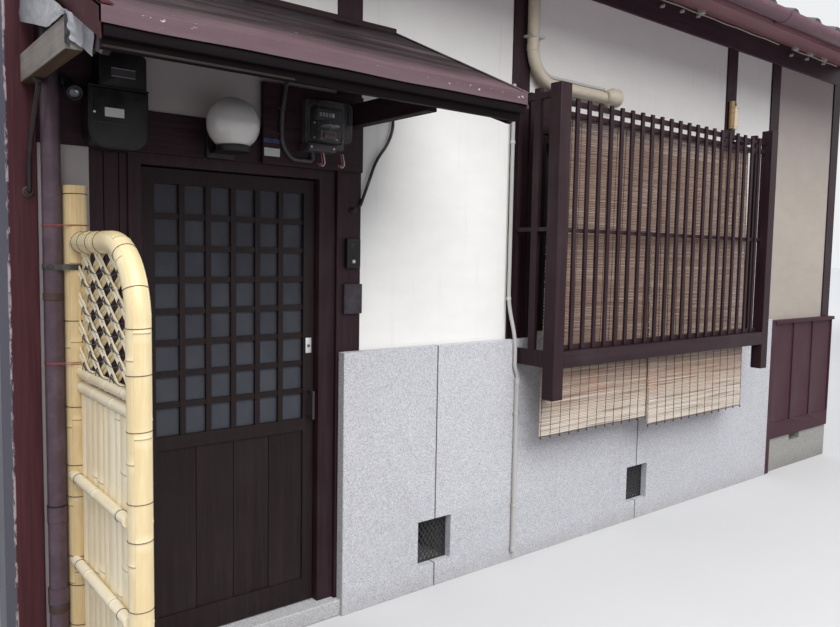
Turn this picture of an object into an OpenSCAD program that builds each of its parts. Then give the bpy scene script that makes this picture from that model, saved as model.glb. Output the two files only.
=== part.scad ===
// Single-storey machiya townhouse from a row: a timber front of three bays between plain party walls.
// X runs along the street front, Y runs into the house, Z is up. The origin lies at the lowest ground
// level, in the middle of the front, on the face of the front posts.

/* [House] */
// Width of the house over its end posts
house_w = 5982; // [5700:1:6400]
// Depth of the house over its front and rear posts
house_d = 5982; // [5000:1:8000]
// Side of the square posts
post_s = 120; // [105:1:135]
// Height of the underside of the front beam
beam_z = 2960; // [2800:1:3200]
// Rise of the roof over its run
roof_slope = 0.4; // [0.3:0.01:0.45]
// Reach of the eave tiles beyond the posts
eave_out = 545; // [530:1:560]
// Reach of the roof boards under the tiles beyond the posts
deck_out = 493; // [493:1:500]
// Thickness of the roof with its tiles, measured upright
roof_t = 130; // [100:1:180]
// Reach of the roof beyond the end posts
verge_out = 30; // [0:1:80]
// Thickness of the plaster infill walls
wall_t = 100; // [80:1:110]
// How far the plaster lies behind the face of the posts
plaster_set = 10; // [5:1:20]
// Columns of tiles across the roof
tile_cols = 22; // [18:1:26]

/* [Front posts] */
// Centre of the post on the right of the door
door_post_x = -1662; // [-1700:1:-1600]
// Centre of the post on the left of the lattice bay
second_post_x = -637; // [-680:1:-600]
// Centre of the post on the right of the lattice bay
third_post_x = 1356; // [1300:1:1400]
// Centre of the post at the left of the cream panel
fourth_post_x = 1949; // [1900:1:2000]

/* [Door] */
// Width of the door leaf
leaf_w = 719; // [700:1:719]
// Height of the door leaf
leaf_h = 1790; // [1700:1:1790]
// Thickness of the door leaf
leaf_t = 33; // [28:1:36]
// Left edge of the door leaf
leaf_x = -2525; // [-2530:1:-2520]
// Gap all round the door leaf
leaf_gap = 7; // [6:1:8]
// Face of the door leaf behind the face of the posts
leaf_y = 45; // [40:1:50]
// Width of the uprights of the door leaf
stile_w = 50; // [45:1:60]
// Panes across the door
pane_cols = 6; // [4:1:8]
// Panes up the door
pane_rows = 8; // [6:1:10]
// Width of the glazing bars
pane_bar = 22; // [18:1:26]

/* [Stone dado] */
// Height of the stone dado
dado_h = 1150; // [1000:1:1200]
// Thickness of the stone dado
dado_t = 45; // [35:1:60]
// Left end of the stone dado
dado_x0 = -1709; // [-1715:1:-1700]
// Right end of the stone dado
dado_x1 = 1977; // [1960:1:1990]
// Side of the underfloor vents
vent_s = 200; // [150:1:230]

/* [Lattice bay] */
// Reach of the lattice bay in front of the posts
bay_out = 300; // [250:1:350]
// Left side of the lattice bay
bay_x0 = -679; // [-690:1:-660]
// Right side of the lattice bay
bay_x1 = 1410; // [1400:1:1416]
// Width of the front posts of the bay
bay_post_w = 76; // [70:1:90]
// Depth of the front posts of the bay
bay_post_d = 70; // [60:1:80]
// Foot of the front posts of the bay
bay_post_z0 = 872; // [850:1:900]
// Top of the front posts of the bay
bay_post_z1 = 2395; // [2350:1:2450]
// Upright bars in the front of the bay
bay_bars = 21; // [15:1:25]
// Width of an upright bar
bay_bar_w = 24; // [18:1:30]

/* [Door canopy] */
// Left end of the canopy
canopy_x0 = -2900; // [-2950:1:-2880]
// Right end of the canopy
canopy_x1 = -1420; // [-1450:1:-1380]
// Reach of the canopy in front of the posts
canopy_out = 793; // [700:1:850]
// Height of the top of the canopy at the wall
canopy_z = 2515; // [2450:1:2600]
// Fall of the canopy over its reach
canopy_slope = 0.47; // [0.4:0.01:0.5]
// Thickness of the canopy boards and their metal cover
canopy_t = 36; // [25:1:45]

/* [Bamboo screen] */
// Middle of the bamboo sleeve screen
screen_x = -2765; // [-2780:1:-2750]
// Reach of the screen from the wall to the middle of its outer pole
screen_out = 640; // [600:1:680]
// Height of the middle of the top pole
screen_z = 1590; // [1500:1:1650]
// Radius of the bend of the top pole
screen_bend = 220; // [180:1:260]
// Radius of the thick pole
screen_pole_r = 35; // [30:1:40]

/* [Hidden] */
$fn = 32;

// Places that follow from the driving sizes
half_w = house_w / 2;
inner_x = half_w - post_s;
mid_y = house_d / 2;
rear_y = house_d - post_s;
under_z0 = 3120;
ridge_under_z = under_z0 + roof_slope * mid_y;
tile_t = 60;
tile_relief = 45;
roof_end = half_w + verge_out;
tile_pitch = (2 * roof_end - 26) / tile_cols;
ridge_w = 130;
soffit_t = 12;
footing_h = 350;
footing_d = 180;
floor_z = 470;
entry_z = 70;
leaf_z = entry_z + leaf_gap;
leaf_x1 = leaf_x + leaf_w;
leaf_z1 = leaf_z + leaf_h;
jamb_x0 = leaf_x - leaf_gap;
jamb_x1 = leaf_x1 + leaf_gap;
door_post_l = door_post_x - post_s / 2;
door_post_r = door_post_x + post_s / 2;
head_z = leaf_z1 + leaf_gap;
head_h = 40;
transom_z = 2060;
lintel_y = 5;
side_board_x = -2709;
side_boards_w = 131;
jamb_d = 95;
jamb_y = 15;
meter_board_y = -20;
breaker_x0 = -2734;
breaker_case_x0 = -2694;
cap_z = 1136;
wainscot_x = 2040;
window_x0 = -480;
window_w = 1570;
window_z0 = 1180;
window_h = 1020;
window_bar = 40;
rear_post_xs = [-961, 985];
vent_xs = [-1290, 300];
rear_vent_xs = [-1600, 1400];
vent_z = 112;
vent_h = 214;
small_vent = [2380, 190, 170, 55];
top_rail_h = 54;
mid_rail_z0 = 821;
mid_rail_h = 51;
bottom_rail_h = 100;
hinge_r = 5;
hinge_h = 100;
hinge_zs = [leaf_z + 180, leaf_z1 - 340];
hinge_x = leaf_x - leaf_gap / 2;
hinge_y = leaf_y - 6;
plate_t = 1.5;
plate_w = 34;
bay_pitch = (bay_x1 - bay_x0 - 2 * bay_post_w) / (bay_bars + 1);
bay_inner_x0 = bay_x0 + bay_post_w;
bay_inner_x1 = bay_x1 - bay_post_w;
bay_beam_z0 = 1030;
bay_beam_z1 = 1110;
bay_bar_y = -270;
bay_bar_d = 13;
bay_bar_z1 = 2340;
bay_rail_d = 22;
bay_rail_zs = [[1110, 24], [1694, 20], [2250, 25], [2304, 25]];
side_t = 24;
canopy_front_z = canopy_z - canopy_slope * canopy_out;
barge_t = 20;
left_arm_x = -2915;
left_barge_x = -2871;
middle_arm_x = -1690;
arm_out = 545;
arm_z0 = 2093;
arm_z1 = 2183;
screen_post_x = screen_x - 6;
screen_post_y = -50;
screen_post_r = 38;
screen_post_h = 1775;
screen_rail_r = 20;
screen_rail_zs = [1160, 1112];
screen_lattice_z0 = screen_rail_zs[0] + screen_rail_r;
side_rail_r = 17;
slat_face = -2;
slat_t = 8;
pipe_x = -2840;
pipe_y = -42;
pipe_r = 30;
gutter_r = 52;
gutter_z = 2972;
gutter_y = -548;

// A plan in Y and Z pushed along X from x0 to x1
module along_x(x0, x1) {
    translate([x0, 0, 0]) rotate([90, 0, 90]) linear_extrude(x1 - x0) children();
}

// A block from its lowest corner to its highest corner
module block(a, b) {
    translate(a) cube(b - a);
}

// A round bar from point a to point b
module rod(a, b, r) {
    v = b - a;
    translate(a) rotate([0, acos(v[2] / norm(v)), atan2(v[1], v[0])]) cylinder(h = norm(v), r = r);
}

// A round bar through a list of points, with a slight bead on each corner
module bent_rod(points, r) {
    for (i = [0 : len(points) - 2]) rod(points[i], points[i + 1], r);
    for (i = [1 : len(points) - 2]) translate(points[i]) sphere(r = r + 0.3);
}

// Height of the underside of the front soffit at a place in Y
function soffit_z(y) = under_z0 - soffit_t + roof_slope * y;

// The same shape on the rear of the house as on the front
module mirror_rear() {
    translate([0, house_d, 0]) mirror([0, 1, 0]) children();
}

// A footing with its open vents, which are notches in its top edge under the timber
module footing(x0, vents) difference() {
    block([x0, 0, 0], [inner_x, footing_d, footing_h]);
    for (x = vents) block([x, -1, vent_z], [x + vent_s, footing_d + 1, footing_h + 1]);
    children();
}

module footings() color("darkgray") {
    footing(door_post_r, vent_xs)
        block([small_vent[0], -1, small_vent[1]],
              [small_vent[0] + small_vent[2], footing_d + 1, small_vent[1] + small_vent[3]]);
    block([door_post_l, footing_d + 20, 0], [door_post_r, house_d - footing_d - 20, footing_h]);
}

module rear_footing() color("darkgray") mirror_rear() footing(-inner_x, rear_vent_xs);

module party_walls() color("silver") {
    for (s = [0, 1]) mirror([s, 0, 0]) along_x(inner_x, half_w)
        polygon([[post_s, 0], [rear_y, 0], [rear_y, under_z0 + roof_slope * post_s],
                 [mid_y, ridge_under_z], [post_s, under_z0 + roof_slope * post_s]]);
}

module post(x, y, z0) {
    block([x - post_s / 2, y, z0], [x + post_s / 2, y + post_s, beam_z]);
}

module wall_posts() color([0.2, 0.12, 0.14]) {
    for (x = [-half_w + post_s / 2, door_post_x, half_w - post_s / 2]) post(x, 0, 0);
    for (x = [second_post_x, third_post_x, fourth_post_x]) post(x, 0, footing_h);
    for (x = [-half_w + post_s / 2, half_w - post_s / 2]) post(x, rear_y, 0);
    for (x = rear_post_xs) post(x, rear_y, footing_h);
}

module wall_beams() color([0.2, 0.12, 0.14]) {
    beam_plan = [[0, beam_z], [post_s, beam_z], [post_s, under_z0 + roof_slope * post_s], [0, under_z0]];
    along_x(-half_w, half_w) polygon(beam_plan);
    mirror_rear() along_x(-half_w, half_w) polygon(beam_plan);
}

// Plaster between two posts of the front, given by the sides that it meets
module infill(x0, x1, z0, z1) {
    block([x0, plaster_set, z0], [x1, plaster_set + wall_t, z1]);
}

module plaster_panels() color([0.93, 0.91, 0.88]) {
    infill(-inner_x, side_board_x, entry_z, head_z + head_h);
    infill(-inner_x, door_post_l, transom_z, beam_z);
    infill(door_post_r, second_post_x - post_s / 2, footing_h, beam_z);
    infill(third_post_x + post_s / 2, fourth_post_x - post_s / 2, footing_h, beam_z);
}

module window_hole(x0) {
    block([x0, -1, window_z0], [x0 + window_w, post_s + 1, window_z0 + window_h]);
}

module window_wall() color([0.93, 0.91, 0.88]) difference() {
    infill(second_post_x + post_s / 2, third_post_x - post_s / 2, footing_h, beam_z);
    window_hole(window_x0);
}

module cream_panel() color([0.88, 0.84, 0.77])
    infill(fourth_post_x + post_s / 2, inner_x, footing_h, beam_z);

module rear_wall() color([0.93, 0.91, 0.88]) mirror_rear() {
    infill(-inner_x, rear_post_xs[0] - post_s / 2, footing_h, beam_z);
    difference() {
        infill(rear_post_xs[0] + post_s / 2, rear_post_xs[1] - post_s / 2, footing_h, beam_z);
        window_hole(-window_w / 2);
    }
    infill(rear_post_xs[1] + post_s / 2, inner_x, footing_h, beam_z);
}

// A slab of dado with its open vents and its two upright grooves
module dado(x0, x1, vents, grooves) difference() {
    block([x0, -dado_t, 0], [x1, 0, dado_h]);
    for (x = vents) block([x, -dado_t - 1, vent_z], [x + vent_s, 1, vent_z + vent_h]);
    for (x = grooves) block([x - 3, -dado_t - 1, vent_z + vent_h + 20], [x + 3, 5 - dado_t, dado_h + 1]);
}

module stone_dado() color([0.72, 0.72, 0.74]) {
    dado(dado_x0, dado_x1, vent_xs, [-1190, 390]);
    mirror_rear() dado(-half_w, half_w, rear_vent_xs, rear_post_xs);
}

// An expanded mesh of crossing strips in a frame, in the plane of X and Z
module grille(x, y) {
    strip = 5;
    step = 25;
    translate([x, y, vent_z]) rotate([90, 0, 0]) linear_extrude(3) intersection() {
        square([vent_s, vent_h]);
        union() {
            for (i = [-9 : 17], s = [-1, 1])
                translate([vent_s / 2 + s * (i - 4) * step, 0]) rotate(-s * 35)
                    translate([-strip / 2, -vent_h]) square([strip, 3 * vent_h]);
            difference() {
                square([vent_s, vent_h]);
                translate([8, 8]) square([vent_s - 16, vent_h - 16]);
            }
        }
    }
}

module vent_grilles() color([0.15, 0.15, 0.17]) {
    for (x = vent_xs) grille(x, -4);
    mirror_rear() for (x = rear_vent_xs) grille(x, -4);
}

module wainscot() color([0.33, 0.18, 0.2]) {
    block([dado_x1, -40, 0], [wainscot_x, 0, cap_z]);
    block([wainscot_x, -25, 250], [half_w, 0, 1110]);
    block([wainscot_x, -32, 250], [half_w, -25, 370]);
    for (x = [2341, 2651, half_w - 18]) block([x, -33, 370], [x + 18, -25, 1110]);
    block([wainscot_x, -50, 1110], [half_w, 0, cap_z]);
}

module wainscot_base() color([0.6, 0.58, 0.56]) difference() {
    block([wainscot_x, -20, 0], [half_w, 0, 250]);
    block([small_vent[0], -21, small_vent[1]],
          [small_vent[0] + small_vent[2], 1, small_vent[1] + small_vent[3]]);
}

module entrance_floor() color([0.55, 0.55, 0.55])
    block([-inner_x, post_s, 0], [door_post_l, house_d - footing_d, entry_z]);

module raised_floor() color([0.6, 0.45, 0.3])
    block([door_post_l, post_s, footing_h], [inner_x, rear_y, floor_z]);

module threshold_stone() color([0.75, 0.75, 0.76]) linear_extrude(entry_z) {
    step_x0 = screen_post_x + screen_post_r + 5;
    step_y = -32;
    polygon([[-inner_x, 0], [step_x0, 0], [step_x0, step_y], [dado_x0, step_y], [dado_x0, 0],
             [door_post_l, 0], [door_post_l, post_s], [-inner_x, post_s]]);
}

// The frame round the door, with a stop behind the leaf and a pocket beside each hinge
module door_frame() color([0.2, 0.12, 0.14]) {
    stop_y = leaf_y + leaf_t + leaf_gap;
    stop_w = 14;
    pocket = hinge_r + 3.5;
    difference() {
        block([side_board_x + side_boards_w, jamb_y, entry_z],
              [door_post_l, jamb_y + jamb_d, head_z + head_h]);
        block([jamb_x0, 0, 0], [jamb_x1, stop_y, head_z]);
        block([jamb_x0 + stop_w, 0, 0], [jamb_x1 - stop_w, post_s, head_z - stop_w]);
        for (z = hinge_zs) block([hinge_x - pocket, hinge_y - pocket, z - 2],
                                 [hinge_x, hinge_y + pocket, z + hinge_h + 2]);
    }
}

module side_boards() color([0.2, 0.12, 0.14]) {
    front_y = 24;
    back_y = 60;
    for (part = [[0, 50], [52, 102], [104, side_boards_w]])
        block([side_board_x + part[0], front_y, entry_z], [side_board_x + part[1], back_y, head_z + head_h]);
    block([side_board_x, back_y, entry_z], [side_board_x + side_boards_w, back_y + 20, head_z + head_h]);
}

// The boards over the door: a lintel with a thin board above it beside the breaker, and the meter board
// notched over the arm that passes through it
module transom_boards() color([0.2, 0.12, 0.14]) {
    block([-inner_x, lintel_y, head_z + head_h], [door_post_l, 105, transom_z]);
    block([-inner_x, lintel_y, transom_z], [breaker_case_x0, plaster_set, 2300]);
    difference() {
        block([-2075, meter_board_y, 1912], [-1608, 0, 2224]);
        block([middle_arm_x, meter_board_y - 1, arm_z0], [middle_arm_x + 50, 1, arm_z1]);
    }
}

module hinge_knuckle(z0, z1) {
    translate([hinge_x, hinge_y, z0]) cylinder(h = z1 - z0, r = hinge_r);
}

module frame_hinges() color([0.5, 0.45, 0.45]) for (z = hinge_zs) {
    z0 = z + hinge_h / 3 + 0.5;
    z1 = z + 2 * hinge_h / 3 - 0.5;
    hinge_knuckle(z0, z1);
    block([jamb_x0, hinge_y, z0], [jamb_x0 + plate_t, hinge_y + plate_w, z1]);
}

module door_leaf() color([0.22, 0.16, 0.15]) {
    glass_x0 = leaf_x + stile_w;
    glass_w = leaf_w - 2 * stile_w;
    glass_z0 = mid_rail_z0 + mid_rail_h;
    glass_h = leaf_z1 - top_rail_h - glass_z0;
    board_z0 = leaf_z + bottom_rail_h;
    difference() {
        block([leaf_x, leaf_y, leaf_z], [leaf_x1, leaf_y + leaf_t, leaf_z1]);
        block([glass_x0, leaf_y - 1, glass_z0], [glass_x0 + glass_w, leaf_y + leaf_t + 1, glass_z0 + glass_h]);
        block([glass_x0, leaf_y - 1, board_z0], [glass_x0 + glass_w, leaf_y + 9, mid_rail_z0]);
        for (i = [1 : 3]) block([glass_x0 + i * glass_w / 4 - 2, leaf_y, board_z0],
                                [glass_x0 + i * glass_w / 4 + 2, leaf_y + 13, mid_rail_z0]);
    }
    for (i = [1 : pane_cols - 1]) {
        x = glass_x0 + i * glass_w / pane_cols;
        block([x - pane_bar / 2, leaf_y + 4, glass_z0], [x + pane_bar / 2, leaf_y + 18, glass_z0 + glass_h]);
    }
    for (i = [1 : pane_rows - 1]) {
        z = glass_z0 + i * glass_h / pane_rows;
        block([glass_x0, leaf_y + 7, z - pane_bar / 2], [glass_x0 + glass_w, leaf_y + 18, z + pane_bar / 2]);
    }
}

module door_glass() color([0.6, 0.66, 0.7]) block(
    [leaf_x + stile_w, leaf_y + 18, mid_rail_z0 + mid_rail_h],
    [leaf_x1 - stile_w, leaf_y + 22, leaf_z1 - top_rail_h]);

module door_pull() color([0.25, 0.22, 0.22]) {
    pull_x = leaf_x1 - 20;
    bent_rod([[pull_x, leaf_y, 985], [pull_x, leaf_y - 34, 985], [pull_x, leaf_y - 34, 875],
              [pull_x, leaf_y, 875]], 7);
}

module door_lock() color([0.75, 0.75, 0.75]) {
    block([leaf_x1 - 42, leaf_y - 4, 1150], [leaf_x1 - 14, leaf_y, 1214]);
    translate([leaf_x1 - 28, leaf_y - 4, 1182]) rotate([90, 0, 0]) cylinder(h = 5, r = 9);
}

module door_hinges() color([0.5, 0.45, 0.45]) for (z = hinge_zs, z0 = [z, z + 2 * hinge_h / 3]) {
    hinge_knuckle(z0, z0 + hinge_h / 3);
    block([leaf_x - plate_t, hinge_y, z0], [leaf_x, hinge_y + plate_w, z0 + hinge_h / 3]);
}

// Height of the top of the canopy at a place in front of the wall
function canopy_top(y) = canopy_z + canopy_slope * y;

// Height of the underside of the canopy at a place in front of the wall
function canopy_under(y) = canopy_top(y) - canopy_t;

// The corner of the canopy that is left open for the downpipe
module pipe_notch() {
    block([canopy_x0 - 1, pipe_y - pipe_r - 8, 2000], [pipe_x + pipe_r + 8, 1, 2600]);
}

// The canopy, with a strip of wood along its joint at the wall
module canopy_roof() color([0.4, 0.24, 0.24]) difference() {
    union() {
        along_x(canopy_x0, canopy_x1) polygon([
            [0, canopy_z], [0, canopy_z - canopy_t], [20 - canopy_out, canopy_under(20 - canopy_out)],
            [-canopy_out, canopy_front_z - canopy_t + 10], [-canopy_out, canopy_front_z]]);
        block([canopy_x0, -20, canopy_z - 12], [canopy_x1 - 18, 0, canopy_z + 14]);
    }
    pipe_notch();
}

module canopy_fascia() color([0.3, 0.16, 0.17]) along_x(canopy_x0 + 10, canopy_x1 - 20) {
    front_y = 20 - canopy_out;
    back_y = front_y + 25;
    polygon([[front_y, 2057], [back_y, 2057], [back_y, canopy_under(back_y)], [front_y, canopy_under(front_y)]]);
}

module canopy_barge_boards() color([0.2, 0.12, 0.14]) for (x = [left_barge_x, canopy_x1 - barge_t])
    difference() {
        front_y = 45 - canopy_out;
        along_x(x, x + barge_t) polygon([
            [0, canopy_z - canopy_t], [front_y, canopy_under(front_y)], [front_y, 2075],
            [front_y + 45, 2056], [-455, 2153], [0, 2368]]);
        pipe_notch();
    }

// The arms that carry the canopy, with the purlin that lies on the middle one between the barge boards
module canopy_arms() color([0.45, 0.4, 0.38]) {
    block([left_arm_x, -arm_out, arm_z0], [left_barge_x, 0, arm_z1]);
    block([middle_arm_x, -arm_out, arm_z0], [middle_arm_x + 50, 0, arm_z1]);
    along_x(left_barge_x + barge_t, canopy_x1 - barge_t) polygon([
        [-arm_out, arm_z1], [50 - arm_out, arm_z1], [50 - arm_out, canopy_under(50 - arm_out)],
        [-arm_out, canopy_under(-arm_out)]]);
}

module arm_flashing() color([0.5, 0.5, 0.53]) along_x(left_arm_x - 9, left_arm_x) polygon([
    [-560, canopy_top(-560) + 12], [-540, 2130], [-480, 2150], [-300, 2250], [-120, 2330],
    [-120, canopy_top(-120) + 12]]);

module lamp_base() color([0.15, 0.15, 0.16]) {
    translate([-2245, -120, 1925]) cylinder(h = 26, r = 62);
    block([-2290, -100, 1930], [-2200, 5, 1946]);
    block([-2300, -12, 1915], [-2190, 5, 2010]);
}

module lamp_globe() color("white") difference() {
    translate([-2245, -120, 2036]) sphere(r = 103);
    block([-2400, -300, 1900], [-2100, 100, 1951]);
}

// A small lamp on a short stem from the board beside the breaker
module spotlight() color([0.15, 0.15, 0.16]) {
    lamp_x = -2780;
    translate([lamp_x, lintel_y, 2122]) rotate([90, 0, 0]) cylinder(h = 8, r = 20);
    rod([lamp_x, 0, 2122], [lamp_x, -60, 2090], 7);
    rod([lamp_x, -45, 2097], [lamp_x, -106, 2065], 24);
}

module breaker_box() color([0.12, 0.12, 0.13]) {
    x1 = -2537;
    z1 = 2105;
    translate([0, lintel_y, 0]) rotate([90, 0, 0]) linear_extrude(95) polygon([
        [breaker_x0, 1950], [breaker_x0 + 44, 1903], [x1 - 44, 1903], [x1, 1950], [x1, z1], [breaker_x0, z1]]);
    block([breaker_case_x0, -70, z1], [x1, plaster_set, 2226]);
}

// A square of side s with corners of radius r, from its lowest corner
module round_square(s, r) {
    translate([r, 0]) square([s - 2 * r, s]);
    translate([0, r]) square([s, s - 2 * r]);
    for (x = [r, s - r], y = [r, s - r]) translate([x, y]) circle(r = r);
}

// The meter: a back case, a clear cover with round corners and a terminal block under it
module electric_meter() color([0.6, 0.6, 0.62]) {
    case_y = meter_board_y - 30;
    block([-1905, case_y, 1990], [-1722, meter_board_y, 2180]);
    translate([-1892, case_y, 2008]) rotate([90, 0, 0]) linear_extrude(85) round_square(155, 24);
    block([-1912, case_y - 40, 1972], [-1785, meter_board_y, 2002]);
}

// A conduit to the meter and a cable down each side of the door
module cables() color([0.3, 0.3, 0.32]) {
    conduit_y = meter_board_y - 9.3;
    bent_rod([[-1975, plaster_set, 2262], [-1975, conduit_y, 2262], [-2000, conduit_y, 2100],
              [-2000, conduit_y, 2000], [-1960, conduit_y, 1938], [-1860, conduit_y, 1938],
              [-1860, conduit_y, 1972]], 9);
    bent_rod([[-1456, plaster_set, 2330], [-1456, -7.3, 2330], [-1456, -7.3, 2120], [-1490, -7.3, 2043],
              [-1583, -7.3, 1864], [-1616, -7.3, 1776], [-1616, 0, 1776]], 7);
    bent_rod([[-2890, -120, arm_z0], [-2890, -120, 2060], [-2895, -60, 1960], [-2900, -22, 1850],
              [-2900, -22, 1750], [-2900, 0, 1750]], 8);
}

module intercom() color([0.15, 0.15, 0.16]) block([-1685, -24, 1508], [-1617, 0, 1633]);

module name_plate() color([0.35, 0.33, 0.35]) block([-1693, -20, 1313], [-1603, 0, 1440]);

module bay_posts() color([0.2, 0.12, 0.15]) for (x = [bay_x0, bay_inner_x1])
    block([x, -bay_out, bay_post_z0], [x + bay_post_w, -bay_out + bay_post_d, bay_post_z1]);

module bay_beam() color([0.2, 0.12, 0.15])
    block([bay_inner_x0, -bay_out, bay_beam_z0], [bay_inner_x1, -bay_out + 50, bay_beam_z1]);

module bay_lattice() color([0.2, 0.12, 0.15]) {
    for (i = [1 : bay_bars]) {
        x = bay_inner_x0 + i * bay_pitch;
        block([x - bay_bar_w / 2, bay_bar_y, bay_beam_z1],
              [x + bay_bar_w / 2, bay_bar_y + bay_bar_d, bay_bar_z1]);
    }
    for (rail = bay_rail_zs)
        block([bay_inner_x0, bay_bar_y + bay_bar_d, rail[0]],
              [bay_inner_x1, bay_bar_y + bay_bar_d + bay_rail_d, rail[0] + rail[1]]);
}

// One side of the bay: rails back to the wall, a wall upright and one upright between
module bay_side(x) {
    back_y = bay_post_d - bay_out;
    block([x, back_y, bay_beam_z0], [x + side_t, -dado_t, bay_beam_z1]);
    for (rail = [[1694, 20], [2330, 30]]) block([x, back_y, rail[0]], [x + side_t, 0, rail[0] + rail[1]]);
    block([x, -168, bay_beam_z1], [x + side_t, -128, 2384]);
    block([x, -30, dado_h], [x + side_t, 0, 2330]);
}

module bay_sides() color([0.2, 0.12, 0.15]) for (x = [bay_x0, bay_x1 - side_t]) bay_side(x);

// A blind that hangs from a header behind the lattice
module blind(x0, x1, y, z0) {
    header = bay_rail_zs[2];
    z1 = header[0] + header[1];
    block([x0, y, z0], [x1, y + 6, z1]);
    block([max(x0, bay_inner_x0), bay_bar_y + bay_bar_d + bay_rail_d, header[0]], [x1, y + 6, z1]);
}

module bamboo_blinds() color([0.8, 0.7, 0.55]) {
    blind(-648, 219, -198, 668);
    blind(220, 1270, -210, 621);
}

module window_frame(x0) {
    t = window_bar;
    difference() {
        block([x0, 0, window_z0], [x0 + window_w, post_s, window_z0 + window_h]);
        block([x0 + t, -1, window_z0 + t], [x0 + window_w / 2 - t / 2, post_s + 1, window_z0 + window_h - t]);
        block([x0 + window_w / 2 + t / 2, -1, window_z0 + t],
              [x0 + window_w - t, post_s + 1, window_z0 + window_h - t]);
    }
}

module window_frames() color([0.3, 0.2, 0.18]) {
    window_frame(window_x0);
    mirror_rear() window_frame(-window_w / 2);
}

module window_panes(x0) {
    t = window_bar;
    y0 = 58;
    y1 = y0 + 5;
    block([x0 + t, y0, window_z0 + t], [x0 + window_w / 2 - t / 2, y1, window_z0 + window_h - t]);
    block([x0 + window_w / 2 + t / 2, y0, window_z0 + t],
          [x0 + window_w - t, y1, window_z0 + window_h - t]);
}

module window_glass() color([0.6, 0.66, 0.7]) {
    window_panes(window_x0);
    mirror_rear() window_panes(-window_w / 2);
}

module air_duct() color([0.85, 0.8, 0.68]) {
    duct_r = 29;
    bend_r = 170;
    duct_x = -597;
    duct_z = 2428;
    duct_y = -duct_r - 1;
    overlap = 6;
    difference() {
        rod([duct_x, duct_y, duct_z + bend_r - overlap], [duct_x, duct_y, under_z0], duct_r);
        along_x(duct_x - bend_r, duct_x + bend_r) polygon([
            [-200, soffit_z(-200)], [10, soffit_z(10)], [10, ridge_under_z], [-200, ridge_under_z]]);
    }
    translate([duct_x + bend_r, duct_y, duct_z + bend_r]) rotate([90, 0, 0]) rotate([0, 0, 180])
        rotate_extrude(angle = 90) translate([bend_r, 0]) circle(r = duct_r + 1);
    rod([duct_x + bend_r - overlap, duct_y, duct_z], [0, duct_y, duct_z], duct_r);
    translate([0, duct_y - 17, duct_z]) rotate([0, 90, 0]) cylinder(h = 80, r = 47);
}

// A hose down the post on clips, that drains into a pipe down the dado
module drain_pipe() color([0.85, 0.82, 0.75]) {
    hose_x = -704;
    hose_y = -14;
    pipe_x = -672;
    pipe_y = -dado_t - 13;
    turn_x = bay_x0 - 13;
    bent_rod([[hose_x, hose_y, 2420], [hose_x, hose_y, 1330], [turn_x, pipe_y, 1150],
              [turn_x, pipe_y, 1010], [pipe_x, pipe_y, 970], [pipe_x, pipe_y, 930]], 10);
    translate([pipe_x, pipe_y, 50]) cylinder(h = 900, r = 13);
    for (z = [1350, 2130]) block([hose_x, hose_y, z], [hose_x + 22, 0, z + 14]);
}

// The pipe from the gutter to the ground, held off the wall by clips
module downpipe() color([0.42, 0.34, 0.38]) {
    bent_rod([[pipe_x, pipe_y, 0], [pipe_x, pipe_y, 2700], [pipe_x, gutter_y, 2840],
              [pipe_x, gutter_y, gutter_z - gutter_r]], pipe_r);
    for (z = [350, 1400, 2620]) block([pipe_x - 8, pipe_y, z], [pipe_x + 8, plaster_set, z + 25]);
}

// The lower half of a gutter section of radius r, solid
module gutter_half(r) translate([gutter_y, gutter_z]) difference() {
    circle(r = r);
    translate([-r - 1, 0]) square([2 * r + 2, r + 1]);
}

// A half-round gutter with closed ends, on straps that hook onto the edge of the roof boards
module gutter() {
    sheet = 3;
    along_x(-roof_end, roof_end) difference() {
        gutter_half(gutter_r);
        translate([gutter_y, gutter_z]) circle(r = gutter_r - sheet);
    }
    for (x = [-roof_end, roof_end - sheet]) along_x(x, x + sheet) gutter_half(gutter_r);
    for (i = [-3 : 3]) along_x(i * 900 - 10, i * 900 + 10) {
        difference() {
            gutter_half(gutter_r + sheet);
            translate([gutter_y, gutter_z]) circle(r = gutter_r - sheet);
        }
        translate([-deck_out - 6, gutter_z - 45]) square([6, 45]);
    }
}

module gutters() color([0.45, 0.28, 0.3]) {
    gutter();
    mirror_rear() gutter();
}

module bamboo_frame() color([0.93, 0.84, 0.62]) {
    bend_y = screen_bend - screen_out;
    bend_z = screen_z - screen_bend;
    translate([screen_post_x, screen_post_y, 0]) cylinder(h = screen_post_h, r = screen_post_r);
    rod([screen_x, screen_post_y, screen_z], [screen_x, bend_y, screen_z], screen_pole_r);
    translate([screen_x, bend_y, bend_z]) rotate([90, 0, 90]) rotate([0, 0, 90])
        rotate_extrude(angle = 90) translate([screen_bend, 0]) circle(r = screen_pole_r);
    rod([screen_x, -screen_out, 0], [screen_x, -screen_out, bend_z], screen_pole_r);
}

// Crossing strips of split bamboo under the arch of the top pole, in two layers
module bamboo_lattice() color([0.9, 0.82, 0.6]) {
    y0 = screen_pole_r - screen_out;
    y1 = screen_post_y - screen_post_r;
    z0 = screen_lattice_z0;
    strip_t = 8;
    strip_w = 34;
    for (side = [-1, 0]) along_x(screen_x + side * strip_t, screen_x + (side + 1) * strip_t) intersection() {
        translate([y0, z0]) square([y1 - y0, screen_z - screen_pole_r - z0]);
        for (i = [-5 : 8]) translate([60 - screen_out + i * 144, screen_z - screen_bend])
            rotate(-(2 * side + 1) * 32) translate([-800, -strip_w / 2]) square([1600, strip_w]);
        union() {
            translate([screen_bend - screen_out, z0]) square([600, 400]);
            translate([y0, z0]) square([600, screen_z - screen_bend - z0]);
            translate([screen_bend - screen_out, screen_z - screen_bend]) circle(r = screen_bend - screen_pole_r);
        }
    }
}

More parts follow.
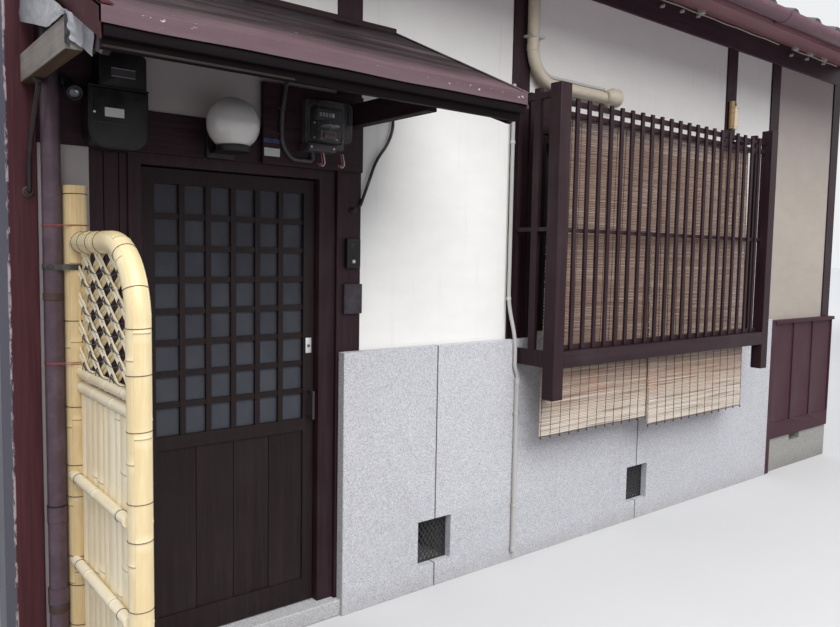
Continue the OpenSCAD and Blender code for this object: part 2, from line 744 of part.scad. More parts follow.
// Rails between the poles, let into them by a few millimetres
module bamboo_rails() color([0.93, 0.84, 0.62]) {
    y0 = screen_pole_r - screen_out - 5;
    y1 = screen_post_y - screen_post_r + 3;
    side_x = screen_x + slat_face - slat_t - side_rail_r;
    for (z = screen_rail_zs) rod([screen_x, y0, z], [screen_x, y1, z], screen_rail_r);
    for (z = [815, 525]) rod([side_x, 18 - screen_out, z], [side_x, -60, z], side_rail_r);
}

module bamboo_slats() color([0.86, 0.76, 0.52]) {
    y0 = screen_pole_r - screen_out;
    y1 = screen_post_y - screen_post_r;
    n = 9;
    w = (y1 - y0) / n;
    for (i = [0 : n - 1])
        block([screen_x + slat_face - slat_t, y0 + i * w + 1, 40],
              [screen_x + slat_face, y0 + (i + 1) * w - 1, screen_rail_zs[1] - screen_rail_r]);
}

module bamboo_vase() color([0.85, 0.75, 0.5]) for (x = [1330, 1368]) translate([x, -19, 2438])
    difference() {
        cylinder(h = 176, r = 19);
        translate([0, 0, 130]) cylinder(h = 60, r = 14);
        translate([-50, -19, 155]) rotate([30, 0, 0]) cube([100, 120, 100]);
    }

// The rolls of the tiles, one in each column, that run down from the ridge to the eave
module tile_rolls() intersection() {
    for (i = [0 : tile_cols - 1])
        translate([252 - roof_end + i * tile_pitch, mid_y, ridge_under_z + roof_t])
            rotate([90 + atan(roof_slope), 0, 0]) linear_extrude(1.1 * (mid_y + eave_out))
                polygon([[-90, -50], [-20, 0], [22, 0], [62, -50]]);
    block([-roof_end, -eave_out, beam_z], [roof_end, mid_y - ridge_w, ridge_under_z + roof_t]);
}

// The front slope: boards and tiles, with the lowest tiles reaching out over the gutter
module roof_slope_front() {
    deck_z = under_z0 - roof_slope * deck_out;
    eave_z = under_z0 - roof_slope * eave_out + roof_t;
    along_x(-roof_end, roof_end)
        polygon([[-deck_out, deck_z], [mid_y, ridge_under_z], [mid_y, ridge_under_z + roof_t - tile_relief],
                 [-eave_out, eave_z - tile_relief], [-eave_out, eave_z - tile_t],
                 [-deck_out, deck_z + roof_t - tile_t]]);
    tile_rolls();
}

module roof_slopes() color([0.5, 0.5, 0.52]) {
    roof_slope_front();
    translate([0, house_d, 0]) rotate([0, 0, 180]) roof_slope_front();
}

// The ridge: a low wall of flat tiles astride the slopes under a row of round tiles
module roof_ridge() color([0.45, 0.45, 0.47]) along_x(-roof_end, roof_end)
    translate([mid_y, ridge_under_z + roof_t]) {
        w = ridge_w;
        h = 120;
        foot = -tile_relief - roof_slope * w;
        polygon([[-w, foot], [0, -tile_relief], [w, foot], [w, h], [-w, h]]);
        translate([0, h]) circle(r = 80);
    }

module purlins() color([0.4, 0.3, 0.25]) {
    quarter_y = mid_y / 2;
    purlin_plan = [[-55, -150], [55, -150], [55, roof_slope * 55], [-55, -roof_slope * 55]];
    along_x(-inner_x, inner_x) translate([quarter_y, under_z0 + roof_slope * quarter_y]) polygon(purlin_plan);
    mirror_rear() along_x(-inner_x, inner_x)
        translate([quarter_y, under_z0 + roof_slope * quarter_y]) polygon(purlin_plan);
    along_x(-inner_x, inner_x) translate([mid_y, ridge_under_z])
        polygon([[-60, -160], [60, -160], [60, -roof_slope * 60], [0, 0], [-60, -roof_slope * 60]]);
}

module eave_soffit() along_x(-roof_end, roof_end) polygon([
    [-deck_out, soffit_z(-deck_out) + soffit_t], [0, under_z0], [0, under_z0 - soffit_t],
    [-deck_out, soffit_z(-deck_out)]]);

module eave_soffits() color([0.55, 0.35, 0.28]) {
    eave_soffit();
    mirror_rear() eave_soffit();
}

footings();
rear_footing();
party_walls();
wall_posts();
wall_beams();
plaster_panels();
window_wall();
cream_panel();
rear_wall();
stone_dado();
vent_grilles();
wainscot();
wainscot_base();
entrance_floor();
raised_floor();
threshold_stone();
door_frame();
side_boards();
transom_boards();
frame_hinges();
door_leaf();
door_glass();
door_pull();
door_lock();
door_hinges();
canopy_roof();
canopy_fascia();
canopy_barge_boards();
canopy_arms();
arm_flashing();
lamp_base();
lamp_globe();
spotlight();
breaker_box();
electric_meter();
cables();
intercom();
name_plate();
bay_posts();
bay_beam();
bay_lattice();
bay_sides();
bamboo_blinds();
window_frames();
window_glass();
air_duct();
drain_pipe();
downpipe();
gutters();
bamboo_frame();
bamboo_lattice();
bamboo_rails();
bamboo_slats();
bamboo_vase();
roof_slopes();
roof_ridge();
purlins();
eave_soffits();
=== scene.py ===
# %% [markdown]
# A machiya is a timber townhouse that stands in a row along a narrow street. This script dresses one
# such house. Its solids come from a CAD program and give every piece its place and size. Blender adds
# what solids alone can't show: tiles, reeds, the joints of bamboo, grain, wear, dirt and frosted glass.
# The first cell loads those solids as the frame.

# %% Load the frame
import math
import bmesh
import bpy
import numpy as np
from mathutils import Matrix, Vector


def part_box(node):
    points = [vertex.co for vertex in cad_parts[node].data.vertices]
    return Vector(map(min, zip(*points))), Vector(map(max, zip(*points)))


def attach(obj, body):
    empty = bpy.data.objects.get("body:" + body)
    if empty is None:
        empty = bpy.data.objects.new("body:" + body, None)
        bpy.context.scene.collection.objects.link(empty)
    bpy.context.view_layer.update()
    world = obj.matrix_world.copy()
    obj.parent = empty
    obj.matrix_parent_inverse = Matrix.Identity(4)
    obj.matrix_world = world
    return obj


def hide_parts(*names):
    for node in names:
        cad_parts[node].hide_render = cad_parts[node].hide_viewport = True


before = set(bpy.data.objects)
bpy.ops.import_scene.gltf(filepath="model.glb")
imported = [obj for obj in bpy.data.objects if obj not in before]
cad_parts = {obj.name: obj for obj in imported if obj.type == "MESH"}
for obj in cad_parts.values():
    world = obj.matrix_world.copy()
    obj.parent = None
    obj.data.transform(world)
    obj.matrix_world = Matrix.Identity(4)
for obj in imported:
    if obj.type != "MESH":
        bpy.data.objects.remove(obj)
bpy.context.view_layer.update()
HOUSE, DOOR = "house", "door"

# %% [markdown]
# The camera stands in the street, a little over 2.7 m in front of the door post, at the height of a
# person's eyes. It looks up the street to the right, so the front runs away from us. A camera's own axes
# are right, up and backwards, and they fill the columns of its matrix.

# %% Place the camera
CAMERA_PLACE, CAMERA_TURN = (-3.46, -2.73, 1.57), (38.78, 4.42, 1.02)
LENS, SENSOR = 32.6, 36.0


def placed(name, data):
    """Puts a camera, a lamp or a mesh into the scene as a new object."""
    obj = bpy.data.objects.new(name, data)
    bpy.context.scene.collection.objects.link(obj)
    return obj


def street_camera(place, turn):
    yaw, pitch, roll = (math.radians(a) for a in turn)
    ahead = Vector((math.sin(yaw) * math.cos(pitch), math.cos(yaw) * math.cos(pitch), -math.sin(pitch)))
    level = Vector((math.cos(yaw), -math.sin(yaw), 0.0))
    right = math.cos(roll) * level + math.sin(roll) * level.cross(ahead)
    up = right.cross(ahead)
    data = bpy.data.cameras.new("street_camera")
    data.lens, data.sensor_width, data.clip_start, data.clip_end = LENS, SENSOR, 0.05, 200.0
    camera = placed("street_camera", data)
    camera.matrix_world = Matrix.Translation(place) @ Matrix((right, up, -ahead)).transposed().to_4x4()
    return camera


bpy.context.scene.camera = street_camera(CAMERA_PLACE, CAMERA_TURN)
print("camera at", tuple(round(v, 2) for v in bpy.context.scene.camera.location))

# %% [markdown]
# The sky, materials and Geometry Nodes are all graphs. Writing them as sums is easier than wiring each
# node by hand, so the class Signal wraps one socket: a sum such as 1 - mask * 0.5 adds its Math nodes.
# The class Sheet adds any other node from its type, its settings and what goes into its sockets.

# %% Write node graphs as sums
class Signal:
    def __init__(self, sheet, socket):
        self.sheet, self.socket = sheet, socket

    def __getitem__(self, name):
        return Signal(self.sheet, self.socket.node.outputs[name])

    def maths(self, operation, *values):
        return self.sheet.add("ShaderNodeMath", {"operation": operation}, dict(enumerate(values)))

    def __add__(self, other):
        return self.maths("ADD", self, other)

    def __sub__(self, other):
        return self.maths("SUBTRACT", self, other)

    def __rsub__(self, other):
        return self.maths("SUBTRACT", other, self)

    def __mul__(self, other):
        return self.maths("MULTIPLY", self, other)

    def __truediv__(self, other):
        return self.maths("DIVIDE", self, other)

    def __rtruediv__(self, other):
        return self.maths("DIVIDE", other, self)

    def __mod__(self, other):
        return self.maths("FLOORED_MODULO", self, other)

    def __rmod__(self, other):
        return self.maths("FLOORED_MODULO", other, self)

    __radd__, __rmul__ = __add__, __mul__

    def __abs__(self):
        return self.maths("ABSOLUTE", self)

    def clamped(self):
        return self.maths("MINIMUM", self.maths("MAXIMUM", self, 0.0), 1.0)


class Sheet:
    def __init__(self, tree):
        self.tree = tree
        self.tree.nodes.clear()

    def add(self, kind, settings=None, sockets=None):
        node = self.tree.nodes.new(kind)
        settings = dict(settings or {})
        stops = settings.pop("stops", None)
        for key, value in settings.items():
            setattr(node, key, value)
        if stops:
            ramp = node.color_ramp
            while len(ramp.elements) < len(stops):
                ramp.elements.new(1.0)
            for element, (where, colour) in zip(ramp.elements, stops):
                element.position, element.color = where, (*colour[:3], 1.0)
        for key, value in (sockets or {}).items():
            if isinstance(value, Signal):
                self.tree.links.new(value.socket, node.inputs[key])
            else:
                node.inputs[key].default_value = value
        return Signal(self, node.outputs[0]) if node.outputs else None

    def seeing(self):
        """Is 1 for the rays of the camera, of gloss and of glass, and 0 for rays that only carry light."""
        rays = self.add("ShaderNodeLightPath")
        return (rays["Is Camera Ray"] + rays["Is Glossy Ray"] + rays["Is Transmission Ray"]).clamped()


print("graphs can be written as sums")

# %% [markdown]
# A pale floor and a soft sky stand in for the street. The sky does most of the lighting, as on an
# overcast day. In a narrow street the light comes from above, so the sky here is bright overhead and dim
# near the horizon, and the wall under the eaves and the door under its canopy darken by themselves. One
# wide lamp high over the street adds a soft direction, and a weaker one lights the rear. The camera, and
# gloss and glass, see a plain pale sky, which is a second colour that only their rays meet.

# %% Light and stage
SKY_LIGHT, SKY_SHOWN = (0.96, 0.97, 1.0), (0.86, 0.87, 0.88)
AT_HORIZON, OVERHEAD = 0.20, 1.20
FLOOR_REACH, FLOOR_Z = 300, -0.001


def plain_sky():
    world = bpy.data.worlds.new("plain_sky")
    world.use_nodes = True
    sheet = Sheet(world.node_tree)
    direction = sheet.add("ShaderNodeTexCoord")["Generated"]
    height = sheet.add("ShaderNodeSeparateXYZ", {}, {0: direction})["Z"]
    strength = sheet.add("ShaderNodeMapRange", {}, {"Value": height, "From Max": 0.8, "To Min": AT_HORIZON,
                                                    "To Max": OVERHEAD})
    lit = sheet.add("ShaderNodeBackground", {}, {"Color": (*SKY_LIGHT, 1.0), "Strength": strength})
    shown = sheet.add("ShaderNodeBackground", {}, {"Color": (*SKY_SHOWN, 1.0)})
    mixed = sheet.add("ShaderNodeMixShader", {}, {0: sheet.seeing(), 1: lit, 2: shown})
    sheet.add("ShaderNodeOutputWorld", {}, {0: mixed})
    bpy.context.scene.world = world


def wide_lamp(name, place, aim, size, power):
    data = bpy.data.lights.new(name, "AREA")
    data.size, data.energy = size, power
    lamp = placed(name, data)
    lamp.location = place
    lamp.rotation_euler = (Vector(aim) - Vector(place)).to_track_quat("-Z", "Y").to_euler()


bpy.context.scene.view_settings.view_transform = "Standard"
plain_sky()
wide_lamp("street_lamp", (-2.6, -7.5, 8.8), (-0.5, 0.0, 1.2), 9.0, 1290.0)
wide_lamp("rear_lamp", (-4.0, 15.0, 8.0), (0.0, 6.0, 1.5), 8.0, 500.0)
floor_mesh = bpy.data.meshes.new("floor")
corners = ((-1, -1), (1, -1), (1, 1), (-1, 1))
floor_mesh.from_pydata([(FLOOR_REACH * x, FLOOR_REACH * y, FLOOR_Z) for x, y in corners], [], [(0, 1, 2, 3)])
floor = placed("floor", floor_mesh)
print("sky, two lamps and a floor are set")

# %% [markdown]
# A Finish is a Sheet for one material. All pieces sit at the origin with their place in their mesh, so
# Object coordinates are metres in the house's own frame. A pattern read from them has its true size, and
# it runs on from one piece to the next as paint and dirt do.

# %% Finishes
class Finish(Sheet):
    def __init__(self, name):
        self.material = bpy.data.materials.new(name)
        self.material.use_nodes = True
        super().__init__(self.material.node_tree)
        self.place = self.add("ShaderNodeTexCoord")["Object"]
        self.x, self.y, self.z = self.axes(self.place)

    def axes(self, vector):
        parts = self.add("ShaderNodeSeparateXYZ", {}, {0: vector})
        return parts["X"], parts["Y"], parts["Z"]

    def noise(self, place, scale, detail=3.0, roughness=0.55, distortion=0.0):
        return self.add("ShaderNodeTexNoise", {}, {"Vector": place, "Scale": scale, "Detail": detail,
                                                   "Roughness": roughness, "Distortion": distortion})

    def drawn(self, scales, *more, place=None):
        """Noise with one scale for each axis. A small scale draws it out along its axis."""
        place = self.add("ShaderNodeMapping", {}, {"Vector": place or self.place, "Scale": scales})
        return self.noise(place, 1.0, *more)

    def cells(self, place, scale):
        picked = self.add("ShaderNodeTexVoronoi", {}, {"Vector": place, "Scale": scale})["Color"]
        return self.add("ShaderNodeSeparateColor", {}, {0: picked})

    def attribute(self, name, output="Fac"):
        return self.add("ShaderNodeAttribute", {"attribute_name": name})[output]

    def ramp(self, value, stops):
        return self.add("ShaderNodeValToRGB", {"stops": stops}, {0: value})

    def between(self, value, low, high, start=0.0, end=1.0):
        return self.add("ShaderNodeMapRange", {"interpolation_type": "SMOOTHSTEP"},
                        {0: value, 1: low, 2: high, 3: start, 4: end})

    def mix(self, share, first, second):
        first, second = (c if isinstance(c, Signal) else (*c[:3], 1.0) for c in (first, second))
        mixed = self.add("ShaderNodeMix", {"data_type": "RGBA"}, {0: share, 6: first, 7: second})
        return Signal(self, mixed.socket.node.outputs[2])

    def tint(self, colour, other, value, low, high, start=0.0, end=1.0):
        """Mixes another colour in, more and more as the value goes from low to high."""
        return self.mix(self.between(value, low, high, start, end), colour, other)

    def close(self, colour, roughness, metallic=0.0, bump=None, height=0.001, coat=0.0, alpha=None,
              specular=0.5):
        sockets = {"Base Color": colour if isinstance(colour, Signal) else (*colour[:3], 1.0),
                   "Roughness": roughness, "Metallic": metallic, "Coat Weight": coat,
                   "Specular IOR Level": specular}
        if alpha is not None:
            sockets["Alpha"] = alpha
        if bump is not None:
            sockets["Normal"] = self.add("ShaderNodeBump", {}, {"Height": bump, "Distance": height})
        shader = self.add("ShaderNodeBsdfPrincipled", {}, sockets)
        self.add("ShaderNodeOutputMaterial", {}, {0: shader})
        print("finish:", self.material.name)
        return self.material


print("finishes can be written")

# %% [markdown]
# The timber of such fronts is stained nearly black, with a warm purple cast, and a soft sheen where hands
# and rain have polished it. Grain is noise that is stretched a long way along the board and hardly at all
# across it. A second, slower noise makes some boards paler, because stain weathers in patches.
#
# Two timbers differ from place to place. The post at the left end has a redder coat, chipped along its outer
# corner. The canopy's left arm is bare and grey, and its faces that point down are painted dark brown as
# shade. The right arm is painted nearly black as shade.

# %% Timber finishes
LEFT_POST_EDGES = (-2.960, -2.871)
LEFT_ARM_END_X = -2.855
DARKEST, LIGHTEST = 0.3, 0.72


def red_left_post(finish, streaks, colour):
    left, right = LEFT_POST_EDGES
    red = finish.ramp(streaks, [(DARKEST, (0.040, 0.011, 0.015)), (LIGHTEST, (0.085, 0.028, 0.034))])
    front = finish.between(finish.y, 0.30, 0.32, 1.0, 0.0)
    colour = finish.mix(front * finish.between(finish.x, right, right + 0.002, 1.0, 0.0), colour, red)
    outer = front * finish.between(finish.x, left, left + 0.002, 1.0, 0.0)
    colour = finish.mix(outer, colour, (0.090, 0.090, 0.115))
    chips = finish.between(finish.drawn((60.0, 60.0, 14.0), 3.0, 0.7), 0.48, 0.58)
    chips = front * chips * finish.between(abs(finish.x - left), 0.002, 0.006, 0.7, 0.0)
    return finish.mix(chips, colour, (0.50, 0.42, 0.42))


def canopy_arm(finish, streaks, colour):
    # Painted shade: faces that point down are painted dark brown, and the arm beyond LEFT_ARM_END_X, the
    # right arm, is painted nearly black.
    down = finish.axes(finish.add("ShaderNodeNewGeometry")["Normal"])[2]
    brown = finish.ramp(streaks, [(DARKEST, (0.030, 0.017, 0.010)), (LIGHTEST, (0.085, 0.052, 0.032))])
    colour = finish.tint(colour, brown, down, -0.8, -0.4, 1.0, 0.0)
    dark = finish.ramp(streaks, [(DARKEST, (0.009, 0.004, 0.0055)), (LIGHTEST, (0.024, 0.012, 0.0155))])
    return finish.tint(colour, dark, finish.x, LEFT_ARM_END_X, LEFT_ARM_END_X + 0.01)


def along_grain(grain, across, along):
    scales = [across] * 3
    scales[grain] = along
    return scales


def timber(name, dark, light, grain=2, gloss=0.42, faded=(0.25, 0.22, 0.22), fade=0.05, coat=None):
    """Makes a timber. Its grain runs along axis 0, 1 or 2, and a coat paints over a part of it. On the
    canopy's arms that coat is painted shade.
    """
    finish = Finish(name)
    bands = finish.drawn(along_grain(grain, 42.0, 1.6), 4.0, 0.6, 0.7)
    pores = finish.drawn(along_grain(grain, 330.0, 6.0), 2.0)
    streaks = bands * 0.6 + pores * 0.4
    colour = finish.ramp(streaks, [(DARKEST, dark), (LIGHTEST, light)])
    colour = finish.tint(colour, faded, finish.noise(finish.place, 1.7, 4.0, 0.65), 0.45, 0.75, 0.0, fade)
    if coat:
        colour = coat(finish, streaks, colour)
    return finish.close(colour, streaks * 0.25 + (gloss - 0.1), bump=streaks, height=0.0012, specular=0.15)


DARK = (0.012, 0.0050, 0.0070), (0.040, 0.0185, 0.0240)
GREY = (0.12, 0.100, 0.088), (0.33, 0.290, 0.265)
dark_upright = timber("dark_timber_upright", *DARK, 2, coat=red_left_post)
dark_lying = timber("dark_timber_lying", *DARK, 0)
dark_outward = timber("dark_timber_outward", *DARK, 1)
beam_timber = timber("beam_timber", (0.026, 0.0125, 0.0185), (0.070, 0.037, 0.050), 0)
door_timber = timber("door_timber", (0.0085, 0.0050, 0.0052), (0.023, 0.0138, 0.0145), 2, 0.45, fade=0.02)
red_upright = timber("red_timber_upright", (0.038, 0.013, 0.019), (0.070, 0.027, 0.037), 2, 0.5)
# Partly painted light: this red timber is much paler than the other timbers, lightened to stand for glare on
# the eave soffits, which lie in shade.
red_timber_painted_light = timber("red_timber_lying_painted_light", (0.26, 0.115, 0.14), (0.44, 0.24, 0.27), 0, 0.5)
weathered = timber("weathered_timber", *GREY, 1, 0.75, (0.4, 0.4, 0.38), 0.5)
arm_timber = timber("arm_timber", *GREY, 1, 0.75, (0.4, 0.4, 0.38), 0.5, canopy_arm)
new_timber = timber("planed_timber", (0.30, 0.19, 0.10), (0.52, 0.36, 0.21), 0, 0.5)

# %% [markdown]
# The infill between the posts is lime plaster, trowelled smooth. It is almost white, with faint clouds from
# the trowel, a little grey where rain runs down, and fine grit in its surface. On the front, painted shade
# darkens it towards the eaves, and beside and over the door, under the canopy, it is painted grey as shade.
# The end panel has an older, creamier coat, which painted shade darkens strongly towards the eaves. The
# party walls are plain cement render, rough and blotched.

# %% Plaster finishes
def plaster(name, base, shade, stain, rough=0.85, grit=0.0008, painted_shade=0.0):
    """Makes a plaster. Painted shade darkens it towards the eaves, and beside and over the door."""
    finish = Finish(name)
    clouds = finish.noise(finish.place, 1.1, 5.0, 0.62, 0.4)
    trowel = finish.drawn((5.0, 5.0, 13.0), 4.0, 0.6)
    colour = finish.ramp(clouds * 0.6 + trowel * 0.4, [(0.32, shade), (0.62, base)])
    colour = finish.tint(colour, stain, finish.drawn((16.0, 16.0, 0.8), 4.0, 0.7), 0.56, 0.82, 0.0, 0.35)
    if painted_shade:
        # Painted shade: grey beside and over the door, as shade under the canopy, then darker towards the
        # eaves, as shade under them.
        painted_door_shade = finish.between(finish.x, -1.70, -1.69, 0.90, 0.0)
        painted_door_shade = painted_door_shade * finish.between(finish.z, 2.48, 2.52, 1.0, 0.0)
        colour = finish.mix(painted_door_shade, colour, (0.34, 0.295, 0.29))
        colour = finish.tint(colour, (0.40, 0.34, 0.36), finish.z, 2.05, 2.85, 0.0, painted_shade)
    sand = finish.noise(finish.place, 260.0, 3.0)
    return finish.close(colour, rough, bump=sand * 0.35 + trowel, height=grit)


LIME = (0.89, 0.88, 0.855), (0.82, 0.81, 0.785), (0.60, 0.57, 0.52)
CREAM = (0.46, 0.405, 0.355), (0.385, 0.335, 0.29), (0.28, 0.24, 0.21)
CEMENT = (0.52, 0.51, 0.49), (0.38, 0.37, 0.36), (0.24, 0.23, 0.22)
white_plaster = plaster("white_plaster", *LIME)
front_plaster = plaster("front_plaster", *LIME, painted_shade=0.24)
cream_plaster = plaster("cream_plaster", *CREAM, painted_shade=0.7)
party_render = plaster("party_render", *CEMENT, 0.9, 0.003)

# %% [markdown]
# The dado is washed aggregate: pale and dark grains a few millimetres across, set in grey mortar. Each
# grain is one Voronoi cell with its own random tone. Two sizes of cell are added so that no single size
# stands out, and dirt gathers near the ground and runs down in a few faint streaks. Dark mortar fills
# the two upright joints of the dado.

# %% Stone and concrete finishes
def aggregate(name, ground, dark, light, soil, rough=0.72, grooves=()):
    finish = Finish(name)
    coarse = finish.cells(finish.place, 240.0)
    fine = finish.cells(finish.place, 470.0)
    tone = coarse * 0.5 + fine * 0.5
    middle = tuple((a + b) / 2 for a, b in zip(ground, light))
    colour = finish.ramp(tone, [(0.1, dark), (0.3, ground), (0.66, middle), (0.92, light)])
    streaks = finish.drawn((7.0, 7.0, 0.9), 5.0, 0.66)
    low = finish.between(finish.z, 0.0, 0.12, 0.5, 0.0)
    dirt = (low + finish.between(streaks, 0.55, 0.85, 0.0, 0.45)) * finish.noise(finish.place, 9.0, 4.0)
    colour = finish.mix(dirt.clamped(), colour, soil)
    for groove in grooves:
        near = finish.between(abs(finish.x - groove), 0.003, 0.005, 0.85, 0.0)
        colour = finish.mix(near, colour, (0.05, 0.05, 0.055))
    return finish.close(colour, rough, bump=tone, height=0.0015)


dado_stone = aggregate("washed_aggregate", (0.50, 0.50, 0.535), (0.31, 0.31, 0.34), (0.77, 0.77, 0.81),
                       (0.30, 0.28, 0.25), grooves=(-1.19, 0.39))
step_stone = aggregate("step_stone", (0.48, 0.48, 0.50), (0.30, 0.30, 0.31), (0.70, 0.70, 0.71),
                       (0.25, 0.23, 0.20))
concrete = aggregate("rough_concrete", (0.33, 0.32, 0.30), (0.20, 0.19, 0.18), (0.46, 0.45, 0.42),
                     (0.12, 0.11, 0.10), 0.9)

# %% [markdown]
# Painted sheet metal covers the canopy and makes the gutters. Its dark red paint has gone dull and
# chalky in patches, so the noise that lightens the colour also makes it rougher. The lead flashing is
# bare metal, grey and crumpled.

# %% Metal finishes
def old_paint(name, paint, chalk, gloss=0.34, specular=0.4):
    finish = Finish(name)
    worn = finish.drawn((3.0, 26.0, 26.0), 5.0, 0.65, 0.5)
    patch = finish.noise(finish.place, 3.2, 5.0, 0.7)
    wear = finish.between(worn * 0.5 + patch * 0.5, 0.42, 0.66)
    colour = finish.mix(wear * 0.75, paint, chalk)
    specks = finish.between(finish.noise(finish.place, 90.0, 3.0), 0.66, 0.75)
    colour = finish.mix(specks * 0.5, colour, tuple(v * 1.9 for v in chalk))
    return finish.close(colour, wear * 0.28 + gloss, bump=patch + specks * 0.1, height=0.002,
                        specular=specular)


def plain_metal(name, colour, rough, metallic=1.0, blotch=0.25):
    finish = Finish(name)
    cloud = finish.noise(finish.place, 34.0, 5.0, 0.7)
    shaded = finish.mix(cloud * blotch, colour, tuple(v * 0.45 for v in colour))
    return finish.close(shaded, cloud * 0.3 + (rough - 0.1), metallic, cloud, 0.0004)


gutter_paint = old_paint("gutter_paint", (0.125, 0.052, 0.072), (0.22, 0.125, 0.155), 0.38)
lead = plain_metal("lead_sheet", (0.36, 0.36, 0.39), 0.5, 0.75, 0.6)
bronze = plain_metal("dull_bronze", (0.17, 0.13, 0.12), 0.42, 0.8, 0.5)
steel = plain_metal("lock_steel", (0.62, 0.62, 0.61), 0.35, 0.9)
vent_metal = plain_metal("vent_metal", (0.030, 0.030, 0.034), 0.55, 0.2)

# %% [markdown]
# Small fittings are moulded plastic. Even plastic isn't flat: it yellows, gathers dust and has the faint
# pebble of its mould. One recipe covers all of them, from the beige duct to the black boxes.

# %% Plastic finishes
def plastic(name, colour, rough=0.45, dust=(0.4, 0.38, 0.35), dusty=0.12, specular=0.5, painted_canopy_shade=False):
    """Makes a plastic. With painted shade it is nearly black where it passes behind the canopy."""
    finish = Finish(name)
    cloud = finish.noise(finish.place, 12.0, 5.0, 0.7)
    shaded = finish.tint(colour, dust, cloud, 0.4, 0.75, 0.0, dusty)
    if painted_canopy_shade:
        # Painted shade: between these heights the pipe is painted nearly black, as the shade behind the
        # canopy.
        canopy_shade_mask = finish.between(finish.z, 2.06, 2.13, 0.0, 0.9)
        canopy_shade_mask = canopy_shade_mask * finish.between(finish.z, 2.42, 2.60, 1.0, 0.0)
        shaded = finish.mix(canopy_shade_mask, shaded, (0.006, 0.005, 0.006))
    pebble = finish.noise(finish.place, 420.0, 2.0)
    return finish.close(shaded, cloud * 0.2 + (rough - 0.1), bump=pebble, height=0.0003, specular=specular)


black_plastic = plastic("black_plastic", (0.0075, 0.0062, 0.0072), 0.42, dusty=0.03, specular=0.25)
grey_plastic = plastic("dark_grey_plastic", (0.045, 0.040, 0.045), specular=0.3)
pale_grey_plastic = plastic("pale_grey_plastic", (0.30, 0.30, 0.31), 0.4)
cable_plastic = plastic("cable_plastic", (0.014, 0.0085, 0.0095), dusty=0.04, specular=0.25)
conduit_plastic = plastic("conduit_plastic", (0.050, 0.044, 0.050), specular=0.3)
duct_plastic = plastic("beige_plastic", (0.60, 0.53, 0.42), 0.5, (0.40, 0.33, 0.22), 0.35)
drain_plastic = plastic("ivory_plastic", (0.50, 0.49, 0.475), 0.45, (0.5, 0.45, 0.36), 0.3)
pipe_plastic = plastic("mauve_plastic", (0.066, 0.037, 0.052), 0.4, (0.19, 0.15, 0.18), 0.3, 0.4, True)
label_plastic = plastic("blank_label", (0.62, 0.62, 0.62), 0.5)
blue_plastic = plastic("blue_strip", (0.012, 0.024, 0.105), 0.4)
lens_glass = plastic("lamp_lens", (0.055, 0.062, 0.080), 0.12, dusty=0.05)
pull_metal = plain_metal("pull_metal", (0.050, 0.044, 0.048), 0.42, 0.5, 0.4)

# %% [markdown]
# The panes are frosted, so they show no room behind them, only a grey blue that grows paler towards the
# bottom, where more daylight falls on them. The lamp is opal glass: white all through, with a thin clear
# skin, which is what Coat Weight adds.

# %% Glass finishes
def frosted(name, top, bottom):
    finish = Finish(name)
    fall = finish.between(finish.z, 0.9, 1.9)
    colour = finish.mix(fall, bottom, top)
    ripple = finish.noise(finish.place, 240.0, 2.0)
    smear = finish.drawn((7.0, 7.0, 5.0), 2.0)
    colour = finish.tint(colour, (0.13, 0.14, 0.15), smear, 0.4, 0.8, 0.0, 0.16)
    return finish.close(colour, smear * 0.25 + 0.16, bump=ripple, height=0.0006, coat=0.06, specular=0.18)


def opal(name):
    finish = Finish(name)
    dust = finish.noise(finish.place, 16.0, 4.0, 0.7)
    colour = finish.tint((0.66, 0.64, 0.63), (0.42, 0.40, 0.38), dust, 0.45, 0.8, 0.0, 0.3)
    return finish.close(colour, dust * 0.2 + 0.14, coat=0.6)


pane_glass = frosted("frosted_panes", (0.024, 0.024, 0.034), (0.046, 0.050, 0.063))
globe_glass = opal("opal_glass")

# %% [markdown]
# The floor is part of the stage and not of the house, but it still gets a finish of its own: pale and
# very nearly even, so that nothing on it draws the eye. It is darker near the house, where the lamp is
# strong, and paler from about ten metres out, so that it meets the sky without an edge. A pale floor would
# throw far more light up under the canopy than the grey street does, so the rays that only carry light
# meet a darker floor.

# %% Floor finish
def pale_floor(name):
    finish = Finish(name)
    cloud = finish.noise(finish.place, 0.6, 3.0)
    near = finish.mix(cloud, (0.56, 0.56, 0.57), (0.62, 0.62, 0.62))
    pale = finish.tint(near, (0.84, 0.85, 0.86), finish.x * finish.x + finish.y * finish.y, 100.0, 500.0)
    return finish.close(finish.mix(finish.seeing(), (0.30, 0.30, 0.31), pale), 0.9)


floor.data.materials.append(pale_floor("pale_floor"))
print("floor dressed")

# %% [markdown]
# A solid from CAD has perfectly sharp edges, and nothing real has. Its mesh is loose triangles, so a
# bevel can't find its edges. The helper below copies it, merges its points, joins coplanar triangles
# back into faces, and rounds every sharp edge a little. The copy then stands for the solid.

# %% Ease the edges of a solid
def place_on(body, obj, slot, *nodes):
    """Rides a finished piece on its body and hides the solids that it stands for."""
    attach(obj, body)
    if nodes:
        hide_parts(*nodes)
    return obj


def smooth_by_angle(mesh, degrees):
    mesh.shade_smooth()
    mesh.set_sharp_from_angle(angle=math.radians(degrees))


def eased(node, finish, slot, width, body=HOUSE):
    shape = bmesh.new()
    shape.from_mesh(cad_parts[node].data)
    bmesh.ops.remove_doubles(shape, verts=shape.verts, dist=1e-5)
    bmesh.ops.dissolve_limit(shape, angle_limit=math.radians(0.5), verts=shape.verts, edges=shape.edges,
                             delimit={"NORMAL"})
    mesh = bpy.data.meshes.new(node + "_eased")
    shape.to_mesh(mesh)
    shape.free()
    mesh.materials.clear()
    mesh.materials.append(finish)
    piece = placed(node + "_eased", mesh)
    bevel = piece.modifiers.new("eased_edges", "BEVEL")
    bevel.width, bevel.segments, bevel.limit_method = width, 2, "ANGLE"
    bevel.angle_limit, bevel.use_clamp_overlap, bevel.harden_normals = math.radians(40), True, False
    smooth_by_angle(mesh, 40.0)
    place_on(body, piece, slot, node)


